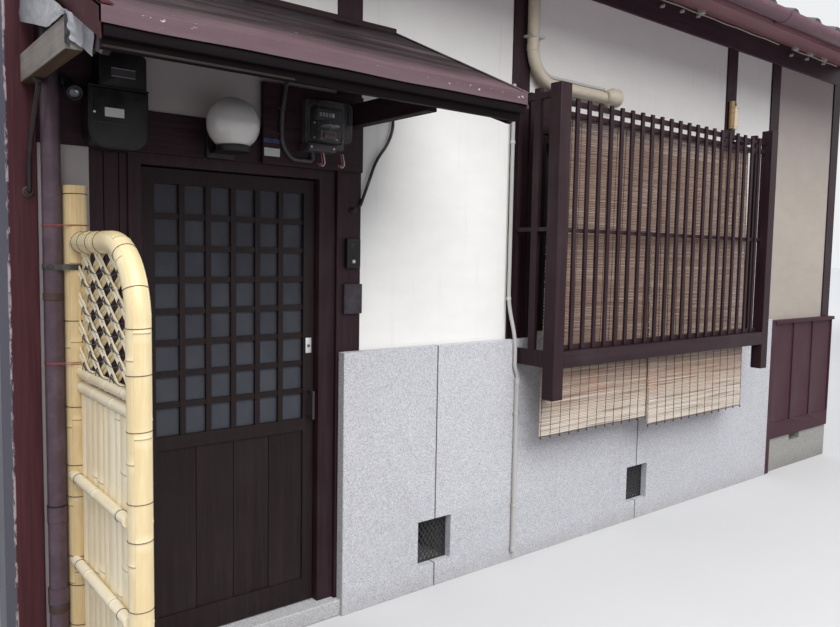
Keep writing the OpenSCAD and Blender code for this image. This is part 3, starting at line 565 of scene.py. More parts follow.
EASED = [
    ("footings", concrete, "concrete", 0.004), ("rear_footing", concrete, "concrete", 0.004),
    ("party_walls", party_render, "party_plaster", 0.004),
    ("wall_posts", dark_upright, "dark_wood", 0.003), ("wall_beams", beam_timber, "dark_wood", 0.003),
    ("plaster_panels", front_plaster, "white_plaster", 0.001),
    ("window_wall", front_plaster, "white_plaster", 0.001),
    ("cream_panel", cream_plaster, "cream_plaster", 0.001),
    ("rear_wall", white_plaster, "white_plaster", 0.001),
    ("stone_dado", dado_stone, "dado_stone", 0.003), ("wainscot", red_upright, "red_wood", 0.002),
    ("wainscot_base", concrete, "concrete", 0.006), ("entrance_floor", concrete, "concrete", 0.002),
    ("raised_floor", new_timber, "floor_wood", 0.002), ("threshold_stone", step_stone, "dado_stone", 0.004),
    ("door_frame", dark_upright, "dark_wood", 0.0015), ("side_boards", dark_upright, "dark_wood", 0.0015),
    ("transom_boards", dark_lying, "dark_wood", 0.002),
    ("canopy_barge_boards", dark_outward, "dark_wood", 0.002),
    ("canopy_arms", arm_timber, "weathered_wood", 0.004), ("bay_posts", dark_upright, "dark_wood", 0.0025),
    ("bay_beam", dark_lying, "dark_wood", 0.0025), ("bay_lattice", dark_upright, "dark_wood", 0.0015),
    ("bay_sides", dark_upright, "dark_wood", 0.0015), ("window_frames", door_timber, "door_wood", 0.002),
    ("purlins", new_timber, "floor_wood", 0.004), ("eave_soffits", red_timber_painted_light, "red_wood", 0.001),
]
for solid in EASED:
    eased(*solid)
eased("door_leaf", door_timber, "door_wood", 0.0012, DOOR)
print(len(EASED) + 1, "solids have eased edges")

# %% [markdown]
# Some solids are right as they are, such as glass, mesh and small hardware. They keep their own mesh and
# only get a finish.

# %% Finish the solids that stay
PLAIN = {"vent_grilles": vent_metal, "frame_hinges": bronze, "door_hinges": bronze, "door_glass": pane_glass,
         "window_glass": pane_glass, "door_pull": pull_metal, "gutters": gutter_paint}
for node, finish in PLAIN.items():
    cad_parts[node].data.materials.clear()
    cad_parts[node].data.materials.append(finish)
print(len(PLAIN), "solids are finished as they are")

# %% [markdown]
# The rest of the house is built here. One idea makes nearly every shape: a list of rings of points that
# is skinned into a closed solid. Two rectangles give a board, two outlines a moulding, circles along a
# path a pipe, and circles of changing size a turned knob. Maker gathers such solids in one bmesh. It
# also stores three attributes on each point, which the bamboo finish reads: the point's place in the
# stick's own frame, the tone of the stick, and how far the next joint of the bamboo is.

# %% Skin rings of points
OUT, UP, DOWN, ALONG = (0, -1, 0), (0, 0, 1), (0, 0, -1), (1, 0, 0)


def full_turn(sides):
    return [2 * math.pi * k / sides for k in range(sides)]


def square_to(ahead, side=None):
    """Gives two directions square to a line, the first as near as can be to the side given."""
    side = ahead.orthogonal() if side is None else side - side.dot(ahead) * ahead
    side.normalize()
    return side, ahead.cross(side)


def circle(centre, side, other, radius, turns):
    return [centre + radius * (math.cos(a) * side + math.sin(a) * other) for a in turns]


class Maker:
    def __init__(self):
        self.shape = bmesh.new()
        self.own = self.shape.verts.layers.float_vector.new("own")
        self.tone = self.shape.verts.layers.float.new("tone")
        self.joint = self.shape.verts.layers.float.new("joint")
        self.finishes = []

    def loft(self, rings, finish, closed=False, own=None, tone=0.0, joint=None, strips=False):
        """Skins equal rings of points. A closed loft joins its last ring to its first."""
        if finish not in self.finishes:
            self.finishes.append(finish)
        rows, faces, count = [], [], len(rings[0])
        for k, ring in enumerate(rings):
            rows.append([self.shape.verts.new(point) for point in ring])
            for j, vert in enumerate(rows[-1]):
                vert[self.own] = own[k][j] if own else ring[j]
                vert[self.tone] = tone[j] if isinstance(tone, list) else tone
                vert[self.joint] = joint[k][j] if joint else 1.0
        for low, high in list(zip(rows, rows[1:])) + ([(rows[-1], rows[0])] if closed else []):
            for j in range(count):
                after = (j + 1) % count
                faces.append(self.shape.faces.new((low[j], low[after], high[after], high[j])))
        if strips:
            for row in (rows[0], rows[-1]):
                for j in range(count // 2 - 1):
                    faces.append(self.shape.faces.new((row[j], row[j + 1], row[-2 - j], row[-1 - j])))
        elif not closed:
            faces += [self.shape.faces.new(rows[0]), self.shape.faces.new(rows[-1])]
        for face in faces:
            face.material_index = self.finishes.index(finish)
        return faces

    def block(self, low, high, finish, ease=0.001, segments=1):
        (x0, y0, z0), (x1, y1, z1) = low, high
        faces = self.loft([[(x0, y0, z), (x1, y0, z), (x1, y1, z), (x0, y1, z)] for z in (z0, z1)], finish)
        if ease:
            edges = list(dict.fromkeys(edge for face in faces for edge in face.edges))
            bmesh.ops.bevel(self.shape, geom=edges, offset=ease, segments=segments, affect="EDGES",
                            profile=0.5)

    def prism(self, outline, axis, start, end, finish, strips=False):
        """Pushes an outline along an axis. Its two numbers are the other axes in alphabetical order."""
        def point(a, b, c):
            return {"x": (c, a, b), "y": (a, c, b), "z": (a, b, c)}[axis]
        self.loft([[point(a, b, c) for a, b in outline] for c in (start, end)], finish, strips=strips)

    def lathe(self, start, ahead, profile, finish, sides=32):
        """Turns a profile of (distance, radius) about a line that leaves start in the direction ahead."""
        start, ahead = Vector(start), Vector(ahead).normalized()
        side, other = square_to(ahead)
        self.loft([circle(start + d * ahead, side, other, r, full_turn(sides)) for d, r in profile], finish)

    def tube(self, path, radius, finish, sides=12, closed=False):
        """Sweeps a circle along a path of close points."""
        path, rings, side = [Vector(p) for p in path], [], None
        for k, point in enumerate(path):
            if closed:
                ahead = (path[(k + 1) % len(path)] - path[k - 1]).normalized()
            else:
                ahead = (path[min(k + 1, len(path) - 1)] - path[max(k - 1, 0)]).normalized()
            side, other = square_to(ahead, side)
            rings.append(circle(point, side, other, radius, full_turn(sides)))
        self.loft(rings, finish, closed)

    def mesh(self, name, degrees=35.0):
        bmesh.ops.recalc_face_normals(self.shape, faces=self.shape.faces)
        mesh = bpy.data.meshes.new(name)
        self.shape.to_mesh(mesh)
        self.shape.free()
        for finish in self.finishes:
            mesh.materials.append(finish)
        smooth_by_angle(mesh, degrees)
        return mesh

    def piece(self, name, slot, *nodes, body=HOUSE, degrees=35.0):
        piece = placed(name, self.mesh(name, degrees))
        print(name + ":", len(piece.data.polygons), "faces")
        return place_on(body, piece, slot, *nodes)


def eased_path(points, step=0.01, reach=0.06):
    """Rounds the corners of a line of points and returns close points along it."""
    points = [Vector(p) for p in points]
    corners = [points[0]]
    for before, here, after in zip(points, points[1:], points[2:]):
        cut = min(reach, 0.45 * (here - before).length, 0.45 * (after - here).length)
        a, b = here + (before - here).normalized() * cut, here + (after - here).normalized() * cut
        corners += [a.lerp(here, t).lerp(here.lerp(b, t), t) for t in (i / 8 for i in range(9))]
    corners.append(points[-1])
    line = [corners[0]]
    for a, b in zip(corners, corners[1:]):
        parts = max(1, round((b - a).length / step))
        line += [a.lerp(b, (i + 1) / parts) for i in range(parts)]
    return line


print("rings can be skinned")

# %% [markdown]
# Tiles, reeds, threads and caps repeat hundreds of times. A Geometry Nodes tree lays them out: it puts
# points on a slanting grid, sets a copy of the unit on each with a slight random turn and shift, and
# stores a random tone for each copy. Real work is never quite even, so the small turns matter. The unit
# is the geometry that enters the tree, and the result is kept as a plain mesh.

# %% Repeat a unit on a grid
def repeated(unit, name, finish, start, across, count, up=(0, 0, 0), rows=1, turn=(0, 0, 0),
             shift=(0, 0, 0), seed=1):
    tree = bpy.data.node_groups.new(name + "_grid", "GeometryNodeTree")
    sheet = Sheet(tree)
    tree.interface.new_socket("Unit", in_out="INPUT", socket_type="NodeSocketGeometry")
    tree.interface.new_socket("Laid", in_out="OUTPUT", socket_type="NodeSocketGeometry")
    sizes = {"Start": start, "Across step": across, "Across count": count, "Up step": up,
             "Up count": rows, "Turn": turn, "Shift": shift, "Seed": seed}
    inputs = {}
    for label, value in sizes.items():
        kind = "NodeSocketInt" if isinstance(value, int) else "NodeSocketVector"
        inputs[tree.interface.new_socket(label, in_out="INPUT", socket_type=kind).identifier] = value
    given = sheet.add("NodeGroupInput")

    def vector(operation, first, second):
        return sheet.add("ShaderNodeVectorMath", {"operation": operation}, {0: first, 1: second})

    def times(step, number):
        tripled = sheet.add("ShaderNodeCombineXYZ", {}, {0: number, 1: number, 2: number})
        return vector("MULTIPLY", step, tripled)

    def spread(most, seed_shift):
        least = vector("MULTIPLY", most, (-1.0, -1.0, -1.0))
        return sheet.add("FunctionNodeRandomValue", {"data_type": "FLOAT_VECTOR"},
                         {0: least, 1: most, "Seed": given["Seed"] + seed_shift})

    index = sheet.add("GeometryNodeInputIndex")
    column = index % given["Across count"]
    row = (index - column) / given["Across count"]
    place = vector("ADD", times(given["Across step"], column), times(given["Up step"], row))
    place = vector("ADD", vector("ADD", place, given["Start"]), spread(given["Shift"], 11))
    line = sheet.add("GeometryNodeMeshLine", {}, {"Count": given["Across count"] * given["Up count"]})
    points = sheet.add("GeometryNodeSetPosition", {}, {"Geometry": line, "Position": place})
    laid = sheet.add("GeometryNodeInstanceOnPoints", {}, {"Points": points, "Instance": given["Unit"],
                                                          "Rotation": spread(given["Turn"], 23)})
    tone = sheet.add("FunctionNodeRandomValue", {"data_type": "FLOAT"}, {"Seed": given["Seed"] + 37})
    tone = Signal(sheet, tone.socket.node.outputs[1])
    laid = sheet.add("GeometryNodeStoreNamedAttribute", {"data_type": "FLOAT", "domain": "INSTANCE"},
                     {"Geometry": laid, "Name": "tone", "Value": tone})
    real = sheet.add("GeometryNodeRealizeInstances", {}, {0: laid})
    done = sheet.add("GeometryNodeSetMaterial", {}, {"Geometry": real, "Material": finish})
    sheet.add("NodeGroupOutput", {}, {0: done})

    carrier = placed(name + "_carrier", unit)
    modifier = carrier.modifiers.new("grid", "NODES")
    modifier.node_group = tree
    for identifier, value in inputs.items():
        modifier[identifier] = value
    mesh = bpy.data.meshes.new_from_object(carrier.evaluated_get(bpy.context.evaluated_depsgraph_get()))
    bpy.data.objects.remove(carrier)
    mesh.name = name
    print(name + ":", count * rows, "copies,", len(mesh.polygons), "faces")
    return placed(name, mesh)


print("units can be repeated")

# %% [markdown]
# Roof tiles are smoked clay, which fires to a silver grey with darker and lighter tiles side by side.
# Each tile has one random tone from the grid. Rain leaves streaks down the slope, and a little lichen
# roughens the oldest ones.

# %% Tile and wire finishes
def tile_finish(name):
    finish = Finish(name)
    tone = finish.attribute("tone")
    cloud = finish.noise(finish.place, 7.0, 5.0, 0.65)
    colour = finish.ramp(tone * 0.6 + cloud * 0.4, [(0.1, (0.055, 0.057, 0.062)), (0.5, (0.10, 0.103, 0.11)),
                                                    (0.9, (0.19, 0.195, 0.205))])
    rain = finish.drawn((40.0, 3.0, 3.0), 4.0, 0.7)
    colour = finish.tint(colour, (0.045, 0.046, 0.048), rain, 0.5, 0.75, 0.0, 0.4)
    lichen = finish.between(finish.noise(finish.place, 38.0, 4.0, 0.7), 0.64, 0.74, 0.0, 0.5)
    colour = finish.mix(lichen, colour, (0.26, 0.27, 0.24))
    return finish.close(colour, cloud * 0.2 + 0.34, bump=cloud + lichen * 0.3, height=0.003)


smoked_tile = tile_finish("smoked_tile")
iron_wire = plain_metal("iron_wire", (0.075, 0.045, 0.038), 0.6, 0.5)
black_cord = plastic("black_cord", (0.018, 0.015, 0.014), 0.8, dusty=0.3)

# %% [markdown]
# The roof is laid with pan tiles. Seen from the eave, each tile is a shallow S: a wide pan that carries
# the water and a roll on its right that covers the edge of the next tile. Every tile leans a little
# less than the roof, so that its foot rests on the head of the one below. The CAD slab gives the line
# that the crests follow. Four rings of one S outline make the tile, and the grid lays it.

# %% Lay the pan tiles
ROOF_RISE, EAVE_Y, RIDGE_Y, HOUSE_DEPTH, ROOF_END = 0.4, -0.545, 2.991, 5.982, 3.021
COLUMNS, ROWS = 22, 16
TILE_W, TILE_STEP, TILE_LENGTH, TILE_T = 0.27345, (RIDGE_Y - EAVE_Y) / ROWS, 0.29, 0.015
TILE_LEAN = math.atan(ROOF_RISE) - math.radians(4.1)
TILE_TURN, TILE_SHIFT = tuple(math.radians(a) for a in (0.35, 0.25, 0.5)), (0.0, 0.0015, 0.0)
CREST = [(0.0, 0.027), (0.03, 0.012), (0.07, 0.003), (0.115, 0.0), (0.155, 0.004), (0.187, 0.020),
         (0.213, 0.040), (0.241, 0.052), (0.268, 0.050), (0.289, 0.036), (0.300, 0.020)]


def roof_top(y):
    return 3.250 + ROOF_RISE * y


def tile_unit(name, lip):
    """Makes one pan tile. The eave's tile has a lip and a round disc in front of its roll."""
    maker = Maker()
    ahead = Vector((0.0, math.cos(TILE_LEAN), math.sin(TILE_LEAN)))
    under = [(u, h - TILE_T) for u, h in reversed(CREST)]
    rings = []
    for along, lift in ((0.0, -0.003), (0.004, 0.0), (0.15, 0.0), (TILE_LENGTH, 0.0)):
        rings.append([Vector((u, 0.0, h - 0.052 + (lift if j < len(CREST) else 0.0))) + along * ahead
                      for j, (u, h) in enumerate(CREST + under)])
    maker.loft(rings, smoked_tile, strips=True)
    if lip:
        face = [(u, h - 0.058) for u, h in CREST] + [(u, h * 0.6 - 0.078) for u, h in reversed(CREST)]
        maker.prism(face, "y", 0.002, 0.016, smoked_tile, strips=True)
        maker.lathe((0.243, 0.018, -0.036), OUT, [(0.0, 0.034), (0.014, 0.036), (0.018, 0.033),
                                                  (0.018, 0.024), (0.015, 0.020)], smoked_tile, 20)
    return maker.mesh(name, 40.0)


def lay_slope(side, sign, seed):
    """Lays one slope. The rear slope is the front one turned half round about the ridge."""
    for name, lip, first, rows in (("eave_tiles_", True, 0, 1), ("roof_tiles_", False, 1, ROWS - 1)):
        unit = tile_unit(name + side + "_unit", lip)
        y = EAVE_Y + first * TILE_STEP
        start = (-ROOF_END * sign, y, roof_top(y))
        if sign < 0:
            unit.transform(Matrix.Rotation(math.pi, 4, "Z"))
            start = (ROOF_END, HOUSE_DEPTH - y, roof_top(y))
        laid = repeated(unit, name + side, smoked_tile, start, (TILE_W * sign, 0, 0), COLUMNS,
                        (0, TILE_STEP * sign, TILE_STEP * ROOF_RISE), rows, TILE_TURN, TILE_SHIFT, seed)
        place_on(HOUSE, laid, "roof_tile", "roof_slopes")


lay_slope("front", 1.0, 5)
lay_slope("rear", -1.0, 8)

# %% [markdown]
# Under the tiles lie boards and a bed of clay. They show only at the two gables, and a narrow board
# closes them along each eave. Each of the three is one outline in the plane of the gable.

# %% Boards and clay under the tiles
BED = (([(-0.493, 2.9228), (RIDGE_Y, 4.3164), (RIDGE_Y, 4.3414), (-0.493, 2.9478)], 0.0, red_timber_painted_light),
       ([(-0.485, 2.951), (RIDGE_Y, 4.3414), (RIDGE_Y, roof_top(RIDGE_Y) - 0.07), (-0.485, 2.983)], 0.012,
        party_render),
       ([(-0.500, 2.945), (-0.482, 2.952), (-0.482, 2.998), (-0.500, 2.990)], 0.0, dark_lying))
roof_bed = Maker()
for rear in (False, True):
    for outline, inset, finish in BED:
        outline = [(HOUSE_DEPTH - y if rear else y, z) for y, z in outline]
        roof_bed.prism(outline, "x", inset - ROOF_END, ROOF_END - inset, finish)
roof_bed.piece("roof_bed", "floor_wood", "roof_slopes")

# %% [markdown]
# The ridge is a low wall of flat tiles in four courses, each a little narrower than the one under it,
# bedded in mortar. A row of round caps closes it, each with a collar over the next, and a plain
# shield-shaped tile ends it at both gables.

# %% Build the ridge
RIDGE_Z, MORTAR_HALF, FLAT_LENGTH, COURSE_RISE, CAP_STEP = roof_top(RIDGE_Y), 0.105, 0.2, 0.029, 0.2494
mortar = Maker()
foot_z = RIDGE_Z - ROOF_RISE * MORTAR_HALF - 0.03
mortar.prism([(RIDGE_Y - MORTAR_HALF, foot_z), (RIDGE_Y, RIDGE_Z - 0.03), (RIDGE_Y + MORTAR_HALF, foot_z),
              (RIDGE_Y + MORTAR_HALF, RIDGE_Z + 0.105), (RIDGE_Y - MORTAR_HALF, RIDGE_Z + 0.105)],
             "x", 0.03 - ROOF_END, ROOF_END - 0.03, party_render)
mortar.piece("ridge_mortar", "roof_tile", "roof_ridge")
for course in range(4):
    half, odd = 0.130 - 0.005 * course, course % 2
    unit = Maker()
    flat = [(-half, -0.006), (-half, 0.012), (-0.04, 0.022), (0.04, 0.022), (half, 0.012), (half, -0.006)]
    unit.prism([(RIDGE_Y + a, b) for a, b in flat], "x", 0.0015, FLAT_LENGTH - 0.0015, smoked_tile)
    start = (-3.0 + odd * FLAT_LENGTH / 2, 0.0, RIDGE_Z - 0.008 + COURSE_RISE * course)
    flats = repeated(unit.mesh("ridge_flat_%d" % course), "ridge_course_%d" % (course + 1), smoked_tile,
                     start, (FLAT_LENGTH, 0, 0), 30 - odd, shift=(0.0, 0.002, 0.001),
                     turn=(0.0, 0.004, 0.004), seed=course + 2)
    place_on(HOUSE, flats, "roof_tile", "roof_ridge")
cap = Maker()
arc = [math.radians(a) for a in range(0, 181, 18)]
rings = []
for x, r in ((0.0, 0.078), (0.034, 0.078), (0.037, 0.071), (0.258, 0.070)):
    outer = [(r * math.cos(a), r * math.sin(a)) for a in arc]
    inner = [((r - 0.013) * math.cos(a), (r - 0.013) * math.sin(a)) for a in reversed(arc)]
    rings.append([(x, a, b) for a, b in outer + inner])
cap.loft(rings, smoked_tile, strips=True)
caps = repeated(cap.mesh("ridge_cap_unit"), "ridge_caps", smoked_tile, (-2.995, RIDGE_Y, RIDGE_Z + 0.121),
                (CAP_STEP, 0, 0), 24, shift=(0.001, 0.0015, 0.0), turn=(0.0, 0.003, 0.006), seed=9)
place_on(HOUSE, caps, "roof_tile", "roof_ridge")
shields = Maker()
half_shield = [(0.19, -0.085), (0.175, 0.02), (0.13, 0.06), (0.125, 0.13), (0.085, 0.175)]
shield = [(-a, b) for a, b in half_shield] + [(0.0, 0.198)] + half_shield[::-1]
shield += [(0.10, -0.045), (0.0, -0.005), (-0.10, -0.045)]
for side in (-1, 1):
    for grow, near, far in ((1.0, ROOF_END - 0.012, 2.965), (0.86, ROOF_END, 3.0)):
        outline = [(RIDGE_Y + a * grow, RIDGE_Z + b * grow) for a, b in shield]
        shields.prism(outline, "x", side * near, side * far, smoked_tile)
shields.piece("ridge_end_tiles", "roof_tile", "roof_ridge")

# %% [markdown]
# Bamboo is pale straw with fine fibres along the stick. At each joint there is a thin raised ring with a
# dark line under it and a pale bloom beside it. The fibres come from noise in the stick's own frame,
# which Maker stored, so they follow a bend. Every split strip has its own tone.

# %% Bamboo finishes
def bamboo(name, pale, straw, ring):
    finish = Finish(name)
    own, tone, joint = finish.attribute("own", "Vector"), finish.attribute("tone"), finish.attribute("joint")
    moved = finish.add("ShaderNodeCombineXYZ", {}, {0: tone * 5.3, 1: tone * 9.1, 2: tone * 3.7})
    own = finish.add("ShaderNodeVectorMath", {"operation": "ADD"}, {0: own, 1: moved})
    fibre = finish.drawn((420.0, 420.0, 5.0), 3.0, 0.6, place=own)
    blotch = finish.drawn((30.0, 30.0, 7.0), 4.0, 0.6, place=own)
    colour = finish.tint(straw, pale, fibre * 0.35 + blotch * 0.45 + tone * 0.2, 0.3, 0.68)
    colour = finish.tint(colour, tuple(min(1.0, v * 1.12) for v in pale), joint, 0.003, 0.035, 0.4, 0.0)
    line = finish.between(joint, 0.0008, 0.0028, 0.8, 0.0)
    colour = finish.mix(line, colour, ring)
    colour = finish.tint(colour, ring, finish.noise(own, 70.0, 3.0, 0.7), 0.70, 0.78, 0.0, 0.45)
    return finish.close(colour, fibre * 0.15 + 0.32, bump=fibre * 0.5 - line, height=0.0007, coat=0.15)


arch_bamboo = bamboo("pale_bamboo", (0.89, 0.78, 0.51), (0.75, 0.58, 0.31), (0.30, 0.20, 0.10))
post_bamboo = bamboo("straw_bamboo", (0.74, 0.58, 0.32), (0.56, 0.38, 0.17), (0.20, 0.12, 0.06))
rail_bamboo = bamboo("white_bamboo", (0.88, 0.80, 0.62), (0.78, 0.66, 0.44), (0.36, 0.26, 0.14))
slat_bamboo = bamboo("split_bamboo", (0.96, 0.86, 0.64), (0.86, 0.70, 0.44), (0.38, 0.26, 0.14))
vase_bamboo = bamboo("old_bamboo", (0.42, 0.27, 0.12), (0.29, 0.17, 0.07), (0.14, 0.08, 0.04))

# %% [markdown]
# The screen beside the door is a sleeve screen. Its thick poles aren't single sticks: wide split strips
# are bound round a core with iron wire, which is how such an even bend is possible. culm sweeps a ring
# with a shallow groove at each seam between strips. Each strip has its joints at its own heights, and
# at each joint a few extra rings lift the skin a little. Plain sticks use the same helper with one
# strip and no groove.

# %% Sweep bamboo along a path
SEAM, JOINT_LIFT, HOLLOW_DEPTH = -0.0016, 0.0014, 0.09


def culm(maker, line, radius, finish, strips=1, gap=0.26, seed=1, per_strip=8, hollow=0.0):
    chance = np.random.default_rng(seed)
    line, sums = [Vector(p) for p in line], [0.0]
    for a, b in zip(line, line[1:]):
        sums.append(sums[-1] + (b - a).length)
    length = sums[-1]
    joints = [np.arange(chance.uniform(0.04, gap), length, gap * chance.uniform(0.94, 1.06))
              for _ in range(strips)]
    tones = [float(chance.uniform(0.0, 1.0)) for _ in range(strips)]
    stations = set(np.round(np.linspace(0.0, length, max(2, int(length / 0.02))), 4))
    for here in (here for row in joints for here in row):
        stations |= {round(float(here) + d, 4) for d in (-0.006, -0.0025, 0.0, 0.0025, 0.006)
                     if 0.0 < here + d < length}
    turns = []
    for strip in range(strips):
        start, width = 2 * math.pi * strip / strips, 2 * math.pi / strips
        if strips > 1:
            turns.append((start, strip, SEAM))
            turns += [(start + width * (0.02 + 0.96 * k / (per_strip - 1)), strip, 0.0)
                      for k in range(per_strip)]
        else:
            turns += [(start + width * k / (per_strip * 2), strip, 0.0) for k in range(per_strip * 2)]
    rings, own, near, side, at = [], [], [], None, 0
    for along in sorted(stations):
        while at < len(sums) - 2 and sums[at + 1] < along:
            at += 1
        share = (along - sums[at]) / max(1e-6, sums[at + 1] - sums[at])
        centre = line[at].lerp(line[at + 1], share)
        before, after = line[max(at - 1, 0)], line[min(at + 2, len(line) - 1)]
        ahead = ((line[at + 1] - before) * (1 - share) + (after - line[at]) * share).normalized()
        side, other = square_to(ahead, side)
        closest = [float(np.min(np.abs(row - along))) if len(row) else 1.0 for row in joints]
        near.append([closest[strip] for _, strip, _ in turns])
        lifts = [JOINT_LIFT * max(0.0, 1.0 - distance / 0.005) for distance in closest]
        radii = [radius + dent + (lifts[strip] if dent == 0.0 else 0.0) for _, strip, dent in turns]
        rings.append([circle(centre, side, other, r, [a])[0] for r, (a, _, _) in zip(radii, turns)])
        own.append([(r * math.cos(a), r * math.sin(a), along) for r, (a, _, _) in zip(radii, turns)])
    if hollow:
        angles, r = [a for a, _, _ in turns], radius - hollow
        for depth in (0.0, HOLLOW_DEPTH):
            rings.append(circle(centre - depth * ahead, side, other, r, angles))
            own.append([(r * math.cos(a), r * math.sin(a), along - depth) for a in angles])
            near.append([1.0] * len(turns))
    maker.loft(rings, finish, own=own, tone=[tones[strip] for _, strip, _ in turns], joint=near)


def band(maker, centre, ahead, radius, thick=0.0011, sides=26):
    """Ties one turn of wire round a stick."""
    side, other = square_to(Vector(ahead).normalized())
    loop = circle(Vector(centre), side, other, radius, full_turn(sides))
    maker.tube(loop, thick, iron_wire, 6, closed=True)


print("bamboo can be swept")

# %% [markdown]
# The wall post stands by itself and is open at its top. The top pole leaves it, bends down in a quarter
# circle and runs to the ground as the outer pole. Wire bands hold the strips at uneven distances.

# %% Poles of the screen
SCREEN_X, POST_X, POST_Y, TOP_Z, OUTER_Y, BEND = -2.765, -2.771, -0.05, 1.59, -0.64, 0.22
POST_R, ARCH_R = 0.0375, 0.0345


def on_bend(angle):
    return (SCREEN_X, OUTER_Y + BEND - BEND * math.sin(angle), TOP_Z - BEND + BEND * math.cos(angle))


posts = Maker()
culm(posts, [(POST_X, POST_Y, 0.0), (POST_X, POST_Y, 1.775)], POST_R, post_bamboo, 6, 0.27, 4, 5, 0.008)
posts.piece("screen_wall_post", "bamboo", "bamboo_frame", degrees=30)
arch_line = [(SCREEN_X, y, TOP_Z) for y in np.linspace(POST_Y - 0.03, OUTER_Y + BEND, 18)]
arch_line += [on_bend(a) for a in np.linspace(0.05, math.pi / 2, 26)]
arch_line += [(SCREEN_X, OUTER_Y, z) for z in np.linspace(TOP_Z - BEND - 0.02, 0.0, 60)]
arch = Maker()
culm(arch, arch_line, ARCH_R, arch_bamboo, 4, 0.30, 12, 7)
arch.piece("screen_arch", "bamboo", "bamboo_frame", degrees=30)
wires = Maker()
for y in (-0.105, -0.175, -0.262, -0.345):
    band(wires, (SCREEN_X, y, TOP_Z), (0, 1, 0), 0.0349)
for a in (math.radians(32), math.radians(66)):
    band(wires, on_bend(a), (0, math.cos(a), math.sin(a)), 0.0349)
for z in (1.357, 1.229, 1.073, 0.872, 0.765, 0.567, 0.40, 0.25, 0.10):
    band(wires, (SCREEN_X, OUTER_Y, z), (0.03 * math.sin(40 * z), 0, 1), 0.0350)
for z in (1.748, 1.333, 1.046, 0.85, 0.743, 0.538, 0.438, 0.30, 0.12):
    band(wires, (POST_X, POST_Y, z), (0.02 * math.sin(50 * z), 0, 1), 0.0382, 0.0013)
wires.piece("screen_wire_bands", "bamboo", "bamboo_frame")

# %% [markdown]
# Four rails cross the screen. The upper pair divides the lattice from the slats below it. The lower two
# lie on the street side of the slats, with a turn of wire near each end.

# %% Rails of the screen
RAIL_Y0, RAIL_Y1 = -0.608, -0.086
rails = Maker()
for k, (x, z, r) in enumerate(((SCREEN_X, 1.160, 0.0195), (SCREEN_X, 1.112, 0.0195),
                               (-2.792, 0.815, 0.0168), (-2.792, 0.525, 0.0168))):
    ends = (RAIL_Y0, RAIL_Y1) if k < 2 else (-0.622, -0.060)
    culm(rails, [(x, ends[0], z), (x, ends[1], z)], r, rail_bamboo, 1, 0.17 + 0.03 * k, 30 + k, 9)
    if k > 1:
        for y in (-0.125, -0.560):
            band(rails, (x, y, z), (0, 1, 0), r + 0.0006)
rails.piece("screen_rails", "bamboo", "bamboo_rails", degrees=30)

# %% [markdown]
# Below the rails stand split slats, round on their street side. They were cut from different sticks, so
# their widths and the heights of their joints differ, and the wood behind shows through two gaps.

# %% Slats of the screen
SLAT_LOW, SLAT_HIGH = 0.04, 1.092
SLAT_SHARES = [0.9, 1.25, 0.8, 1.3, 0.75, 1.1, 0.9, 1.2, 0.8]
SLAT_GAPS = [0.001, 0.001, 0.0045, 0.001, 0.0045, 0.001, 0.001, 0.001, 0.0]
BOW = [(-0.5, 0.0), (-0.36, 0.0022), (-0.18, 0.0038), (0.0, 0.0044), (0.18, 0.0038), (0.36, 0.0022),
       (0.5, 0.0), (0.5, -0.004), (-0.5, -0.004)]
slats = Maker()
chance = np.random.default_rng(21)
unit_w = (RAIL_Y1 - RAIL_Y0 - sum(SLAT_GAPS)) / sum(SLAT_SHARES)
left = RAIL_Y0
for k, (share, gap) in enumerate(zip(SLAT_SHARES, SLAT_GAPS)):
    width, tone = share * unit_w, float(chance.uniform(0, 1))
    joints = np.arange(chance.uniform(0.10, 0.36), 1.09, chance.uniform(0.25, 0.33))
    even = set(np.round(np.linspace(SLAT_LOW, SLAT_HIGH, 30), 4))
    beside = {round(float(h) + d, 4) for h in joints for d in (-0.005, -0.002, 0, 0.002, 0.005)
              if 0.045 < h + d < 1.085}
    sway = chance.uniform(-0.0012, 0.0012)
    rings, near, own = [], [], []
    for z in sorted({SLAT_LOW, SLAT_HIGH} | even | beside):
        closest = float(np.min(np.abs(joints - z)))
        lift = 0.0012 * max(0.0, 1.0 - closest / 0.004)
        middle = left + width / 2 + sway * math.sin(4.0 * z + k)
        rings.append([(SCREEN_X - 0.0045 - h - (lift if h >= 0 else 0.0), middle + u * width, z)
                      for u, h in BOW])
        own.append([(u * width, h, z) for u, h in BOW])
        near.append([closest] * len(BOW))
    slats.loft(rings, slat_bamboo, own=own, tone=tone, joint=near)
    left += width + gap
slats.piece("screen_slats", "bamboo", "bamboo_slats", degrees=30)

# %% [markdown]
# Under the arch is an open lattice. Pairs of thin strips run down towards the street, and pairs of
# fatter strips cross behind them. Each strip ends where it meets a pole, which a short walk along its
# line finds. Black cord runs from crossing to crossing and loops over each one.

# %% Lattice of the screen
LATTICE_Z0, LATTICE_MID, LATTICE_TILT, LATTICE_STEP = 1.180, 1.37, math.radians(32.0), 0.144
STRIP = [(-1.0, 0.0), (-0.6, 0.0026), (0.0, 0.0036), (0.6, 0.0026), (1.0, 0.0), (0.6, -0.0018),
         (-0.6, -0.0018)]


def under_arch(y, z, margin):
    low_y, high_y = OUTER_Y + ARCH_R - margin, POST_Y - POST_R + margin
    if not (low_y < y < high_y and LATTICE_Z0 - margin < z < TOP_Z - ARCH_R + margin):
        return False
    dy, dz = y - (OUTER_Y + BEND), z - (TOP_Z - BEND)
    return dy > 0 or dz < 0 or math.hypot(dy, dz) < BEND - ARCH_R + margin


